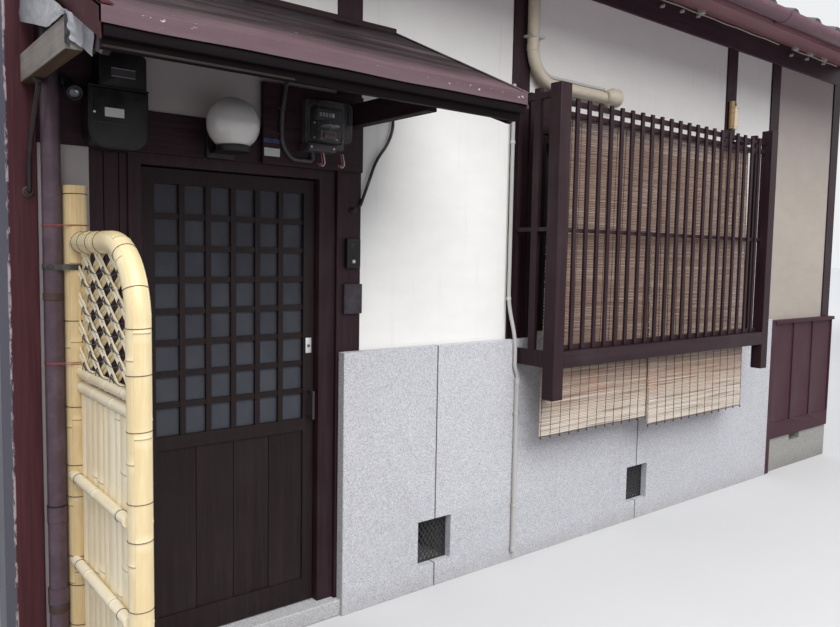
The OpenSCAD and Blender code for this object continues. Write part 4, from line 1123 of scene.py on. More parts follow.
lattice = Maker()
chance = np.random.default_rng(7)
for lean, x, spread, half, finish in ((-1.0, SCREEN_X - 0.0055, 0.0098, 0.0075, rail_bamboo),
                                      (1.0, SCREEN_X + 0.0045, 0.0090, 0.0088, arch_bamboo)):
    run = Vector((0.0, math.cos(LATTICE_TILT), -lean * math.sin(LATTICE_TILT)))
    across = Vector((0.0, -run.z, run.y))
    for k, pair in ((k, pair) for k in range(-6, 9) for pair in (-1, 1)):
        base = Vector((x, OUTER_Y + 0.06 + k * LATTICE_STEP, LATTICE_MID)) + across * (pair * spread)
        inside = [t for t in np.arange(-0.9, 0.9, 0.004)
                  if under_arch(base.y + run.y * t, base.z + run.z * t, 0.006)]
        if len(inside) < 5:
            continue
        tone = float(chance.uniform(0, 1))
        wide = half * chance.uniform(0.88, 1.05)
        rings, own = [], []
        for t in np.linspace(inside[0], inside[-1], max(4, int((inside[-1] - inside[0]) / 0.03))):
            weave = 0.0012 * math.sin(t * math.pi / 0.0395 + k)
            centre = base + run * float(t)
            rings.append([centre + across * (u * wide) + Vector((-h - weave, 0, 0)) for u, h in STRIP])
            own.append([(u * wide, h, float(t)) for u, h in STRIP])
        lattice.loft(rings, finish, own=own, tone=tone)
lattice.piece("screen_lattice", "bamboo", "bamboo_lattice", degrees=30)

ties = Maker()
crossings, rise = 0, LATTICE_STEP / 2 * math.tan(LATTICE_TILT)
for row in range(-4, 6):
    z = LATTICE_MID + row * rise
    spots = [OUTER_Y + 0.06 + (k + (row % 2) / 2) * LATTICE_STEP for k in range(-1, 6)]
    spots = [y for y in spots if under_arch(y, z, -0.006)]
    crossings += len(spots)
    for y in spots:
        loop = [(SCREEN_X - 0.001 - 0.0108 * math.cos(a), y + 0.021 * math.sin(a),
                 z + 0.010 * math.sin(a) + 0.002 * math.sin(3 * a)) for a in full_turn(14)]
        ties.tube(loop, 0.0013, black_cord, 5, closed=True)
        slant = [(SCREEN_X - 0.0118, y - 0.019 + 0.019 * t, z - 0.012 + 0.026 * math.sin(t * 1.6))
                 for t in np.linspace(0.0, 2.0, 9)]
        ties.tube(slant, 0.0012, black_cord, 5)
    for a, b in zip(spots, spots[1:]):
        cord = [(SCREEN_X - 0.0112, a + (b - a) * t, z - 0.011 * math.sin(math.pi * t))
                for t in np.linspace(0.0, 1.0, 9)]
        ties.tube(cord, 0.0012, black_cord, 5)
print(crossings, "crossings are tied")
ties.piece("screen_ties", "bamboo", "bamboo_lattice")

# %% [markdown]
# Two roller blinds of split reeds hang behind the bars of the bay. Each reed has its own tone, and slow
# noise over the whole blind adds pink and green areas. Each reed is painted darker at its edges, as shade
# where it meets its neighbours, and fine dark lines across it are painted shade in the gaps. Under the beam,
# below about 1.0 m, the blind is painted browner as shade, with an orange band in it. Below about 0.8 m it
# is pale cream, bleached by the sun and also painted paler as light.

# %% Blind finishes
REED_PITCH, REED_HALF = 0.0085, 0.0039


def reed_finish(name):
    finish = Finish(name)
    tone, across = finish.attribute("tone"), finish.axes(finish.attribute("own", "Vector"))[2]
    along = finish.drawn((9.0, 9.0, 150.0), 3.0, 0.6)
    area = finish.drawn((4.0, 4.0, 9.0), 4.0, 0.65)
    colour = finish.ramp(tone * 0.45 + along * 0.2 + area * 0.35,
                         [(0.20, (0.34, 0.25, 0.20)), (0.36, (0.66, 0.53, 0.44)), (0.58, (0.86, 0.74, 0.62)),
                          (0.80, (0.95, 0.88, 0.77))])
    pink, green = finish.drawn((8.0, 8.0, 12.0), 3.0), finish.drawn((11.0, 11.0, 7.0), 3.0)
    colour = finish.tint(colour, (0.74, 0.50, 0.42), pink, 0.52, 0.66, 0.0, 0.45)
    colour = finish.tint(colour, (0.60, 0.57, 0.40), green, 0.54, 0.68, 0.0, 0.35)
    # Painted shade: below about 1.0 m the reeds are painted browner, as shade under the beam.
    colour = finish.mix(finish.between(finish.z, 0.98, 1.16, 1.0, 0.0) * 0.6, colour, (0.52, 0.36, 0.265))
    orange = finish.between(finish.z, 0.76, 0.84) * finish.between(finish.z, 0.90, 1.02, 1.0, 0.0)
    colour = finish.mix(orange * finish.between(area, 0.42, 0.62, 0.05, 0.6), colour, (0.66, 0.36, 0.21))
    # Partly painted light: below about 0.8 m the reeds turn pale cream, sun-bleached and painted paler as
    # light.
    colour = finish.tint(colour, (0.96, 0.89, 0.76), finish.z + area * 0.2, 0.78, 1.06, 0.95, 0.0)
    lines = finish.drawn((1.8, 1.8, 110.0), 2.0, 0.6)
    # Painted shade: these dark lines stand for the shade in the gaps between reeds.
    colour = finish.tint(colour, (0.17, 0.100, 0.072), lines, 0.54, 0.66, 0.0, 0.7)
    colour = finish.tint(colour, (0.97, 0.91, 0.80), lines, 0.34, 0.46, 0.6, 0.0)
    # Painted shade: each reed darkens at its edges, as shade where it meets its neighbours; reeds of low
    # tone are darker in their own colour.
    seam = finish.between(abs(across), REED_HALF * 0.5, REED_HALF * 0.9, 0.0, 0.72)
    seam = seam + finish.between(tone, 0.05, 0.26, 0.6, 0.0)
    seam = seam.clamped() * finish.between(finish.z, 0.98, 1.16, 0.6, 1.0)
    colour = finish.mix(seam, colour, (0.20, 0.115, 0.080))
    return finish.close(colour, along * 0.2 + 0.5, bump=along, height=0.0006)


reed = reed_finish("blind_reed")
brown_thread = plastic("brown_thread", (0.060, 0.028, 0.020), 0.85, dusty=0.1)
pale_thread = plastic("pale_thread", (0.62, 0.52, 0.40), 0.85, dusty=0.1)
brown_edge = plastic("brown_edge", (0.11, 0.055, 0.040), 0.7, dusty=0.2)

# %% [markdown]
# The grid lays one wavy reed nearly two hundred times, each with a slight turn about its own length. The
# same grid repeats a thread with a knot under the last reed, and small pale loops where the thread turns
# round the ends of the reeds. A batten at the top hangs from the upper rail of the bars, and a thin dark
# edge closes the foot.

# %% Hang the blinds
BATTEN_X, BATTEN_Y = -0.602, -0.2345


def hang_blind(name, x0, x1, y, z0, z1, gap, seed, lean):
    """Hangs one blind. Its top leans sideways, as a blind does that was rolled up a little crooked."""
    width = x1 - x0

    def hung(obj):
        for vert in obj.data.vertices:
            vert.co.x += lean * (vert.co.z - z0) / (z1 - z0)
        place_on(HOUSE, obj, "blind_bamboo", "bamboo_blinds")

    unit, rings, own = Maker(), [], []
    for t in (k / 8 for k in range(9)):
        x = -width / 2 + t * width
        sway_y, sway_z = 0.0006 * math.sin(5.1 * t + seed), 0.0010 * math.sin(9.0 * t + seed)
        ring = [(x, sway_y + 0.0012 * math.cos(a), sway_z + REED_HALF * math.sin(a)) for a in full_turn(8)]
        rings.append(ring)
        own.append([(x, point[1] - ring[0][1], REED_HALF * math.sin(a))
                    for point, a in zip(ring, full_turn(8))])
    unit.loft(rings, reed, own=own)
    count = int((z1 - z0) / REED_PITCH)
    hung(repeated(unit.mesh(name + "_reed"), name + "_reeds", reed, ((x0 + x1) / 2, y, z0 + 0.012),
                  (0, 0, REED_PITCH), count, turn=(0.22, 0.0, 0.0010), shift=(0.003, 0.0003, 0.0006),
                  seed=seed))
    threads = round((width - 0.012) / gap)
    unit = Maker()
    for side, radius in ((-1, 0.0016), (1, 0.0010)):
        line = [(0.0007 * side + 0.0008 * math.sin(9.0 * z), side * 0.0018, z)
                for z in np.linspace(0.0, z1 - z0, 50)]
        unit.tube(line, radius, brown_thread, 5)
    knot = [(0.0, 0.0012), (0.004, 0.0038), (0.009, 0.0042), (0.013, 0.0015)]
    unit.lathe((0, -0.001, 0.003), (0.1, 0, -1), knot, brown_thread, 8)
    hung(repeated(unit.mesh(name + "_thread"), name + "_threads", brown_thread, (x0 + 0.006, y, z0),
                  ((width - 0.012) / threads, 0, 0), threads + 1, turn=(0.0, 0.0010, 0.4),
                  shift=(0.003, 0.0, 0.0010), seed=seed + 3))
    unit = Maker()
    loop = [(0.0, 0.0030 * math.cos(a), 0.0058 * math.sin(a)) for a in full_turn(8)]
    unit.tube(loop, 0.0018, pale_thread, 5, closed=True)
    hung(repeated(unit.mesh(name + "_loop"), name + "_loops", pale_thread, (x0 + 0.001, y, z0 + 0.014),
                  (width - 0.002, 0, 0), 2, (0, 0, 2 * REED_PITCH), count // 2, turn=(0.3, 0.0, 0.5),
                  shift=(0.0008, 0.0, 0.001), seed=seed + 7))
    ends = Maker()
    ends.block((max(x0, BATTEN_X), BATTEN_Y, z1 - 0.024), (x1, y + 0.004, z1), weathered, 0.003, 2)
    ends.tube([(x, y, z0 + 0.004) for x in np.linspace(x0 + 0.001, x1 - 0.001, 12)], 0.0026, brown_edge, 8)
    ends.piece(name + "_batten", "blind_bamboo", "bamboo_blinds")


hang_blind("left_blind", -0.648, 0.243, -0.1953, 0.668, 2.275, 0.074, 41, 0.022)
hang_blind("right_blind", 0.246, 1.270, -0.2070, 0.621, 2.275, 0.087, 57, -0.055)

# %% [markdown]
# Inside the bay a dark board covers the plaster between the wall post and the window, so that the side of
# the bay looks dark from the street.

# %% Board beside the window
window_board = Maker()
window_board.block((-0.577, -0.012, 1.152), (-0.498, 0.012, 2.400), dark_upright, 0.002)
window_board.block((-0.500, -0.011, 2.206), (-0.385, 0.012, 2.400), dark_lying, 0.002)
window_board.piece("window_side_board", "dark_wood")

# %% [markdown]
# The canopy is boarded and covered with painted sheet. The sheet is a little wavy, turns down over the front
# edge and hangs over both ends as a cap, which is red on the left. At the corner the boards are cut away
# round the downpipe. A strip of wood covers the joint at the wall. The paint has faded to pink at the front,
# with white chips along the fold, and smoky streaks run along the canopy. Towards the wall the sheet is
# painted nearly black, as shade. The fascia's paint is nearly black, and the bare wood along its lower edge
# is a dull brown.

# %% Canopy finish
CANOPY_FALL, CANOPY_FOLD_Z = 0.47, 2.139


def canopy_finish(name):
    finish = Finish(name)
    smoke = finish.drawn((1.3, 15.0, 15.0), 4.0, 0.6, 0.4)
    patch = finish.noise(finish.place, 3.2, 5.0, 0.7)
    colour = finish.ramp(smoke * 0.7 + patch * 0.3, [(0.34, (0.010, 0.007, 0.008)),
                                                     (0.50, (0.026, 0.018, 0.020)),
                                                     (0.66, (0.068, 0.054, 0.056))])
    faded = finish.mix(smoke, (0.105, 0.058, 0.068), (0.200, 0.138, 0.155))
    colour = finish.tint(colour, faded, finish.y + patch * 0.24, -0.70, -0.42, 0.85, 0.0)
    # Painted shade: towards the wall the sheet darkens to nearly black, as shade there.
    colour = finish.tint(colour, (0.008, 0.0055, 0.0065), finish.y - patch * 0.10, -0.26, -0.10, 0.0, 0.95)
    chips = finish.drawn((26.0, 60.0, 70.0), 4.0, 0.75)
    fold = finish.between(abs(finish.z - CANOPY_FOLD_Z), 0.004, 0.012, 0.05, 0.0)
    spots = finish.noise(finish.place, 1.9, 2.0) * 0.22
    colour = finish.tint(colour, (0.62, 0.54, 0.56), chips + fold + spots, 0.825, 0.85, 0.0, 0.85)
    return finish.close(colour, patch * 0.2 + 0.5, bump=patch + chips * 0.1, height=0.002, specular=0.08)


canopy_sheet = canopy_finish("canopy_sheet")
red_cap = old_paint("red_cap_paint", (0.042, 0.0115, 0.0155), (0.085, 0.034, 0.040), 0.6, 0.06)
fascia_paint = old_paint("fascia_paint", (0.0050, 0.0032, 0.0038), (0.011, 0.0075, 0.0085), 0.6, 0.05)
lip_paint = old_paint("lip_paint", (0.0042, 0.0026, 0.0034), (0.011, 0.0068, 0.0088), 0.6, 0.08)
bare_edge = timber("bare_edge", (0.009, 0.006, 0.005), (0.024, 0.017, 0.0145), 0, 0.7)

# %% [markdown]
# The sheet is skinned from a cross-section at forty places along the canopy, each lifted a little by two
# slow waves. All heights hang from canopy_top, the slope of the CAD cover. The two end caps are thin
# upright strips with a narrow flange on top, and the left cap hangs lower than the right one.

# %% Cover the canopy
NOTCH_X, NOTCH_Y, WAVE, CAP_T = -2.802, -0.080, 0.0012, 0.004
(COVER_X0, COVER_Y0, _), (COVER_X1, _, WALL_Z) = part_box("canopy_roof")


def canopy_top(y, under=0.0):
    return WALL_Z + CANOPY_FALL * y - under


def wavy_sheet(maker, x0, x1, y0, y1, wave):
    """Skins the sheet from its front edge to its rear edge. Where it is wavy, its front turns down."""
    rings = []
    for x in np.linspace(x0, x1, 40):
        rise = wave * (math.sin(7.3 * x) + 0.6 * math.sin(17.0 * x + 1.0)) - wave * 1.6
        section = [(y1, canopy_top(y1, 0.001)), (y0, canopy_top(y0, 0.001) + rise)]
        if wave:
            section += [(y0, canopy_top(y0, 0.042) + rise), (y0 + 0.0035, canopy_top(y0, 0.042) + rise),
                        (y0 + 0.0035, canopy_top(y0, 0.006) + rise)]
        else:
            section.append((y0, canopy_top(y0, 0.004) + rise))
        section.append((y1, canopy_top(y1, 0.0055)))
        rings.append([(x, y, z) for y, z in section])
    maker.loft(rings, canopy_sheet)


def slanted(y0, y1, low, high):
    """A strip along the slope, low and high metres under its top."""
    return [(y0, canopy_top(y0, low)), (y1, canopy_top(y1, low)), (y1, canopy_top(y1, high)),
            (y0, canopy_top(y0, high))]


cover = Maker()
for x0, y0, y1 in ((COVER_X0 + 0.004, -0.772, NOTCH_Y), (NOTCH_X, NOTCH_Y, 0.0)):
    cover.prism(slanted(y0, y1, 0.036, 0.010), "x", x0, COVER_X1 - 0.004, dark_outward)
wavy_sheet(cover, COVER_X0, COVER_X1, COVER_Y0, NOTCH_Y, WAVE)
wavy_sheet(cover, NOTCH_X, COVER_X1, NOTCH_Y, 0.0, 0.0)
for x0, flange, hang, finish, back in ((COVER_X0, 0.034, 0.084, red_cap, NOTCH_Y),
                                       (COVER_X1 - CAP_T, -0.024, 0.056, canopy_sheet, 0.0)):
    cover.prism(slanted(COVER_Y0, back, hang, -0.003), "x", x0, x0 + CAP_T, finish)
    cover.prism(slanted(COVER_Y0, back, 0.0, -0.003), "x", *sorted((x0, x0 + flange)), finish)
cover.block((NOTCH_X, -0.019, WALL_Z - 0.012), (-1.438, 0.009, WALL_Z + 0.014), dark_lying, 0.002)
cover.piece("canopy_cover", "canopy_metal", "canopy_roof")

# %% [markdown]
# The front is closed by a dark painted board with a lip near its top. A thin line of bare wood shows
# along the lower edge of its left part, where the paint has gone.

# %% Close the front of the canopy
fascia = Maker()
(x0, y0, z0), (x1, y1, z1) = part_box("canopy_fascia")
fascia.block((x0, y0, z0), (x1, y1, z1 - 0.006), fascia_paint, 0.002, 2)
fascia.block((x0, y0 - 0.014, 2.083), (x1 + 0.012, y0 + 0.002, 2.112), lip_paint, 0.002, 2)
fascia.block((x0, y0 - 0.003, 2.0575), (-2.36, y0 + 0.002, 2.0655), bare_edge)
fascia.piece("canopy_front", "canopy_metal", "canopy_fascia")

# %% [markdown]
# A sheet of lead was pushed over the end of the arm by hand. crumpled skins a thin sheet between a low line
# and a high line of points and pushes each of its points a little out of flat. Flat shading keeps the
# creases. One sheet lies on the arm's side and one folds forward along the barge board. A near-black strip
# between them is painted shade in the crease where they meet.

# %% Crumple the lead flashing
FLASHING_X, LEAD_T = -2.919, 0.0012


def crumpled(maker, low_line, high_line, rows, columns, depth, finish, seed):
    chance = np.random.default_rng(seed)
    low_line, high_line = np.array(low_line), np.array(high_line)
    at = np.linspace(0, len(low_line) - 1, columns + 1)
    low_line, high_line = (np.stack([np.interp(at, np.arange(len(line)), line[:, k]) for k in range(3)], 1)
                           for line in (low_line, high_line))
    out = Vector(np.cross(low_line[-1] - low_line[0], high_line[0] - low_line[0])).normalized()
    rings = []
    for i in range(rows + 1):
        push = chance.uniform(-depth, depth, columns + 1)
        flat = low_line + (high_line - low_line) * (i / rows)
        front = [Vector(p) + out * float(d) for p, d in zip(flat, push)]
        rings.append(front + [p - out * LEAD_T for p in reversed(front)])
    maker.loft(rings, finish, strips=True)


flashing = Maker()
foot = ((-0.023, 2.278), (-0.205, 2.230), (-0.365, 2.186), (-0.460, 2.183), (-0.556, 2.180))
crumpled(flashing, [(FLASHING_X, y, z) for y, z in foot],
         [(FLASHING_X, y, canopy_top(y, 0.078)) for y in (-0.025, -0.16, -0.29, -0.42, -0.556)],
         7, 16, 0.0030, lead, 3)
crumpled(flashing, [(-2.908, -0.5515, 2.119), (-2.877, -0.560, 2.100), (-2.876, -0.637, 2.063)],
         [(-2.918, -0.5515, 2.194), (-2.878, -0.572, 2.170), (-2.876, -0.671, 2.128)], 6, 8, 0.0030, lead, 8)
# Painted shade: this near-black strip stands for the shade in the crease between the two sheets.
crumpled(flashing, [(FLASHING_X, -0.5520, 2.106), (-2.906, -0.5530, 2.100)],
         [(FLASHING_X, -0.5520, 2.190), (-2.904, -0.5530, 2.186)], 10, 2, 0.0024, vent_metal, 5)
flashing.piece("crumpled_flashing", "lead_sheet", "arm_flashing", degrees=4)

# %% [markdown]
# Small fittings share three helpers. rounded outlines a rectangle with round corners, cushion pushes
# such an outline forwards from the wall and draws its front edge in a little, as a moulded case has it,
# and screws sets round heads on it. All work in the plane of the front. The street is towards minus Y.

# %% Helpers for moulded cases
CORNER_STEPS = 6


def rounded(x0, x1, z0, z1, low_r, high_r=None):
    high_r = low_r if high_r is None else high_r
    outline = []
    for x, z, r, first in ((x1 - low_r, z0 + low_r, low_r, -90), (x1 - high_r, z1 - high_r, high_r, 0),
                           (x0 + high_r, z1 - high_r, high_r, 90), (x0 + low_r, z0 + low_r, low_r, 180)):
        turns = [math.radians(first + 90 * k / CORNER_STEPS) for k in range(CORNER_STEPS + 1)]
        outline += [(x + r * math.cos(a), z + r * math.sin(a)) for a in turns]
    return outline


def cushion(maker, corners, back, front, inset, finish):
    outline = rounded(*corners)
    x0, x1, z0, z1 = corners[:4]
    cx, cz = (x0 + x1) / 2, (z0 + z1) / 2
    draw_x, draw_z = 2 * inset / (x1 - x0), 2 * inset / (z1 - z0)
    rings = [[(x, back, z) for x, z in outline], [(x, front + inset, z) for x, z in outline]]
    for share in (0.35, 0.7, 1.0):
        pull = 1 - math.sqrt(1 - share * share)
        rings.append([(cx + (x - cx) * (1 - draw_x * pull), front + inset * (1 - share),
                       cz + (z - cz) * (1 - draw_z * pull)) for x, z in outline])
    maker.loft(rings, finish)


def screws(maker, places, finish, r=0.004):
    for place in places:
        maker.lathe(place, OUT, [(0.0, r), (0.001, r), (0.002, r * 0.7)], finish, 12)


print("cases can be moulded")

# %% [markdown]
# To the left of the lamp hangs the breaker in its black case: a lid with a round lower edge and a shorter
# case over it. The labels stay blank. Beside it a small spotlight hangs from a bracket on the wall, and a
# pale disc on the upper right of its lens is a painted highlight.

# %% Breaker case and spotlight
LEFT, RIGHT, FRONT = -2.734, -2.537, -0.0895
breaker = Maker()
cushion(breaker, (LEFT, RIGHT, 1.903, 2.103, 0.062, 0.006), 0.003, -0.083, 0.004, black_plastic)
cushion(breaker, (-2.730, -2.541, 1.907, 2.098, 0.058, 0.005), -0.080, -0.090, 0.003, black_plastic)
cushion(breaker, (-2.694, -2.538, 2.106, 2.226, 0.004, 0.016), 0.009, -0.070, 0.004, black_plastic)
breaker.block((LEFT, -0.087, 2.100), (RIGHT, 0.003, 2.107), black_plastic)
breaker.block((-2.540, -0.055, 2.072), (-2.533, -0.035, 2.112), black_plastic)
breaker.block((-2.684, -0.0912, 2.006), (-2.621, FRONT, 2.036), label_plastic, 0.0004)
breaker.block((-2.656, -0.0708, 2.142), (-2.576, -0.0695, 2.173), grey_plastic, 0.0004)
for z in (2.144, 2.170):
    breaker.block((-2.655, -0.0716, z), (-2.577, -0.0702, z + 0.0018), pale_grey_plastic, 0)
breaker.block((-2.722, -0.0915, 1.985), (-2.549, FRONT, 1.9875), grey_plastic, 0.0004)
screws(breaker, [(-2.716, FRONT, 2.018)], steel)
breaker.piece("breaker_case", "black_plastic", "breaker_box")

SPOT_X, SPOT_Z, SPOT_AIM = -2.780, 2.122, (0.0, -0.885, -0.465)
spotlight = Maker()
spotlight.lathe((SPOT_X, 0.005, SPOT_Z), OUT, [(0.0, 0.020), (0.006, 0.020), (0.008, 0.016)],
                black_plastic, 20)
stem = eased_path([(SPOT_X, 0.0, SPOT_Z), (SPOT_X, -0.035, SPOT_Z), (SPOT_X, -0.058, 2.092)], 0.005, 0.02)
spotlight.tube(stem, 0.0065, black_plastic, 10)
head = [(0.0, 0.012), (0.005, 0.019), (0.045, 0.0235), (0.069, 0.024), (0.069, 0.0215), (0.063, 0.020)]
lens = [(0.0, 0.0195), (0.004, 0.017), (0.008, 0.010), (0.0095, 0.003)]
spotlight.lathe((SPOT_X, -0.045, 2.097), SPOT_AIM, head, black_plastic, 24)
spotlight.lathe((SPOT_X, -0.0990, 2.0686), SPOT_AIM, lens, lens_glass, 24)
# Painted highlight: this small pale disc on the upper right of the lens stands for the bright glint on it.
spotlight.lathe((SPOT_X + 0.003, -0.1065, 2.0685), SPOT_AIM, [(0.0, 0.0065), (0.002, 0.0055)],
                label_plastic, 16)
spotlight.piece("door_spotlight", "black_plastic", "spotlight")

# %% [markdown]
# The lamp is a globe of opal glass in a dark cup. It is turned from one profile, and its lower edge sits
# right over the cup's rim.

# %% Globe lamp
LAMP_X, LAMP_Y, GLOBE_Z, GLOBE_R, CUP_Z = -2.245, -0.120, 2.028, 0.0955, 1.952
first = math.asin((CUP_Z - GLOBE_Z) / GLOBE_R)
turns = [first + (math.pi / 2 - 0.03 - first) * k / 26 for k in range(27)]
globe = Maker()
globe.lathe((LAMP_X, LAMP_Y, GLOBE_Z), UP,
            [(GLOBE_R * math.sin(a), GLOBE_R * math.cos(a)) for a in turns], globe_glass, 56)
globe.piece("opal_globe", "lamp_glass", "lamp_globe", degrees=50)
cup = Maker()
cup.lathe((LAMP_X, LAMP_Y, 1.9255), UP, [(0.0, 0.050), (0.003, 0.058), (0.008, 0.061), (0.023, 0.062),
                                         (0.0255, 0.060)], black_plastic, 40)
cup.block((-2.286, -0.096, 1.931), (-2.204, 0.004, 1.945), black_plastic, 0.002)
cushion(cup, (-2.300, -2.190, 1.915, 2.008, 0.006), 0.004, -0.012, 0.003, black_plastic)
screws(cup, [(x, -0.0115, 1.996) for x in (-2.288, -2.202)], bronze)
cup.piece("lamp_cup", "black_plastic", "lamp_base")

# %% [markdown]
# The electric meter shows its works behind a clear cover: a plate with counting wheels, a turning disc
# in its bearing and the coil that drives it. The cover is clear plastic, which here means a low alpha
# and a glossy skin, so the works stay visible in the exported model too.

# %% Electric meter
def clear_cover(name):
    finish = Finish(name)
    haze = finish.noise(finish.place, 55.0, 4.0, 0.7)
    veil = finish.between(haze, 0.35, 0.8, 0.10, 0.24)
    return finish.close((0.22, 0.225, 0.235), haze * 0.12 + 0.05, coat=0.7, alpha=veil)


cover_plastic = clear_cover("clear_cover")
COVER = (-1.892, -1.737, 2.008, 2.163, 0.024)
DISC_X, DISC_Y = -1.8145, -0.086
meter = Maker()
cushion(meter, (-1.905, -1.722, 1.990, 2.180, 0.012), -0.020, -0.050, 0.004, grey_plastic)
cushion(meter, (-1.884, -1.745, 2.016, 2.155, 0.018), -0.0495, -0.056, 0.002, black_plastic)
meter.block((-1.872, -0.082, 2.098), (-1.757, -0.055, 2.140), grey_plastic, 0.002)
meter.block((-1.864, -0.0835, 2.108), (-1.790, -0.0815, 2.130), black_plastic, 0.0005)
for k, wheel in enumerate([pale_grey_plastic] * 4 + [label_plastic]):
    x = -1.862 + 0.0145 * k
    meter.block((x, -0.0845, 2.1105), (x + 0.0115, -0.0830, 2.1275), wheel, 0.0004)
meter.lathe((DISC_X, DISC_Y, 2.074), UP, [(0.0, 0.039), (0.0018, 0.039)], steel, 40)
meter.lathe((DISC_X, DISC_Y, 2.046), UP, [(0.0, 0.003), (0.052, 0.003)], bronze, 10)
meter.block((-1.851, -0.078, 2.026), (-1.778, -0.055, 2.058), bronze, 0.002)
coil = [(0.0, 0.012), (0.003, 0.0145), (0.050, 0.0145), (0.053, 0.012)]
meter.lathe((-1.842, -0.078, 2.038), ALONG, coil, iron_wire, 20)
screws(meter, [(x, -0.0558, z) for z in (2.030, 2.088) for x in (-1.868, -1.762)], steel, 0.0035)
cushion(meter, COVER, -0.0505, -0.135, 0.008, cover_plastic)
rim = [(x, -0.0545, z) for x, z in rounded(-1.894, -1.735, 2.006, 2.165, 0.026)]
meter.tube(rim, 0.0038, grey_plastic, 8, closed=True)
meter.tube([(x, -0.1275, z) for x, z in rounded(*COVER)], 0.0016, grey_plastic, 6, closed=True)
cushion(meter, (-1.912, -1.785, 1.972, 2.002, 0.003), -0.020, -0.090, 0.003, grey_plastic)
screws(meter, [(x, -0.0895, 1.987) for x in (-1.900, -1.797)], steel)
meter.piece("meter_works", "meter_glass", "electric_meter")

# %% [markdown]
# The conduit and the two cables follow the routes that the CAD model gives them, with their corners
# eased. Clips, a rusty clamp and a round insulator hold them. Two pairs of short wires, red and white,
# hang in small loops under the meter.

# %% Conduit and cables
red_wire = plastic("red_wire", (0.28, 0.045, 0.035), 0.5)
white_wire = plastic("white_wire", (0.55, 0.52, 0.48), 0.5)
CONDUIT_Y, DOOR_CABLE_Y = -0.0293, -0.0073
wiring = Maker()


def cable(route, step, reach, radius, finish, sides):
    wiring.tube(eased_path(route, step, reach), radius, finish, sides)


route = [(-1.975, 2.262), (-2.000, 2.100), (-2.000, 2.000), (-1.960, 1.938), (-1.860, 1.938),
         (-1.860, 1.974)]
cable([(-1.975, 0.010, 2.262)] + [(x, CONDUIT_Y, z) for x, z in route], 0.006, 0.035, 0.0088,
      conduit_plastic, 14)
for x, z, ahead in ((-1.9945, 2.135, (0.15, 0, -1)), (-2.000, 2.035, DOWN), (-1.925, 1.938, ALONG)):
    wiring.lathe((x, CONDUIT_Y, z), ahead, [(0.0, 0.0098), (0.009, 0.0098)], grey_plastic, 16)
    wiring.block((x - 0.016, -0.0225, z - 0.008), (x + 0.004, -0.0195, z), grey_plastic, 0.0005)
route = [(-1.443, 2.330), (-1.443, 2.112), (-1.472, 2.045), (-1.532, 1.972), (-1.572, 1.869),
         (-1.610, 1.776)]
cable([(-1.443, 0.010, 2.330)] + [(x, DOOR_CABLE_Y, z) for x, z in route] + [(-1.610, 0.0, 1.776)],
      0.008, 0.05, 0.0068, black_cord, 12)
insulator = [(0.0, 0.013), (0.004, 0.013), (0.006, 0.009), (0.012, 0.009), (0.016, 0.012), (0.020, 0.008)]
wiring.lathe((-1.647, 0.0, 1.754), OUT, insulator, black_plastic, 20)
cable([(-2.890, -0.120, 2.093), (-2.890, -0.120, 2.060), (-2.895, -0.060, 1.960), (-2.900, -0.022, 1.850),
       (-2.900, -0.022, 1.750), (-2.900, 0.0, 1.750)], 0.008, 0.05, 0.0078, cable_plastic, 12)
clip = [(0.0, 0.014), (0.010, 0.014), (0.016, 0.009)]
wiring.lathe((-2.890, -0.120, 2.0935), DOWN, clip, cable_plastic, 18)
clamp = [(0.0, 0.019), (0.004, 0.019), (0.007, 0.014), (0.016, 0.012)]
wiring.lathe((-2.900, 0.0, 1.750), OUT, clamp, iron_wire, 22)
for x, wire in ((-1.842, red_wire), (-1.830, white_wire), (-1.748, red_wire), (-1.737, white_wire)):
    cable([(x, -0.062, 1.974), (x + 0.004, -0.064, 1.950), (x + 0.012, -0.058, 1.930),
           (x + 0.004, -0.050, 1.918), (x - 0.006, -0.052, 1.930)], 0.003, 0.012, 0.0021, wire, 8)
wiring.piece("door_wiring", "cable_plastic", "cables")

# %% [markdown]
# The lock is a small plate with a round keyhole in it. The hole is not cut: a near-black disc in its ring is
# painted shade. It rides on the door, so it swings with it.

# %% Lock
lock = Maker()
lock.block((-1.848, 0.0375, 1.150), (-1.820, 0.045, 1.214), steel, 0.0012, 2)
keyhole = [(0.0, 0.0072), (0.0012, 0.0070), (0.0016, 0.0055)]
lock.lathe((-1.834, 0.0378, 1.180), OUT, keyhole, bronze, 24)
# Painted shade: a near-black disc stands for the shade inside the keyhole.
lock.lathe((-1.834, 0.0364, 1.180), OUT, [(0.0, 0.0026), (0.0004, 0.0024)], vent_metal, 12)
lock.piece("lock_plate", "lock_metal", "door_lock", body=DOOR)

# %% [markdown]
# On the door post are an intercom with its speaker slots and round button, and a plain box. The two
# small plates on the meter board are left without words.

# %% Fittings beside the door
box_plastic = plastic("mauve_grey_plastic", (0.026, 0.020, 0.028), 0.5, dusty=0.1, specular=0.3)
fittings = Maker()
cushion(fittings, (-1.685, -1.617, 1.508, 1.633, 0.004), 0.0, -0.024, 0.003, black_plastic)
for k in range(3):
    z = 1.5955 + 0.006 * k
    fittings.block((-1.668, -0.0252, z), (-1.648, -0.0236, z + 0.0025), grey_plastic, 0.0003)
ring = [(0.0, 0.0085), (0.0020, 0.0085), (0.0026, 0.0070)]
fittings.lathe((-1.652, -0.0236, 1.536), OUT, ring, pale_grey_plastic, 24)
fittings.lathe((-1.652, -0.0256, 1.536), OUT, [(0.0, 0.0052), (0.0016, 0.0050)], label_plastic, 20)
fittings.piece("intercom_case", "black_plastic", "intercom")
plain_box = Maker()
cushion(plain_box, (-1.693, -1.603, 1.313, 1.440, 0.003), 0.0, -0.0180, 0.002, box_plastic)
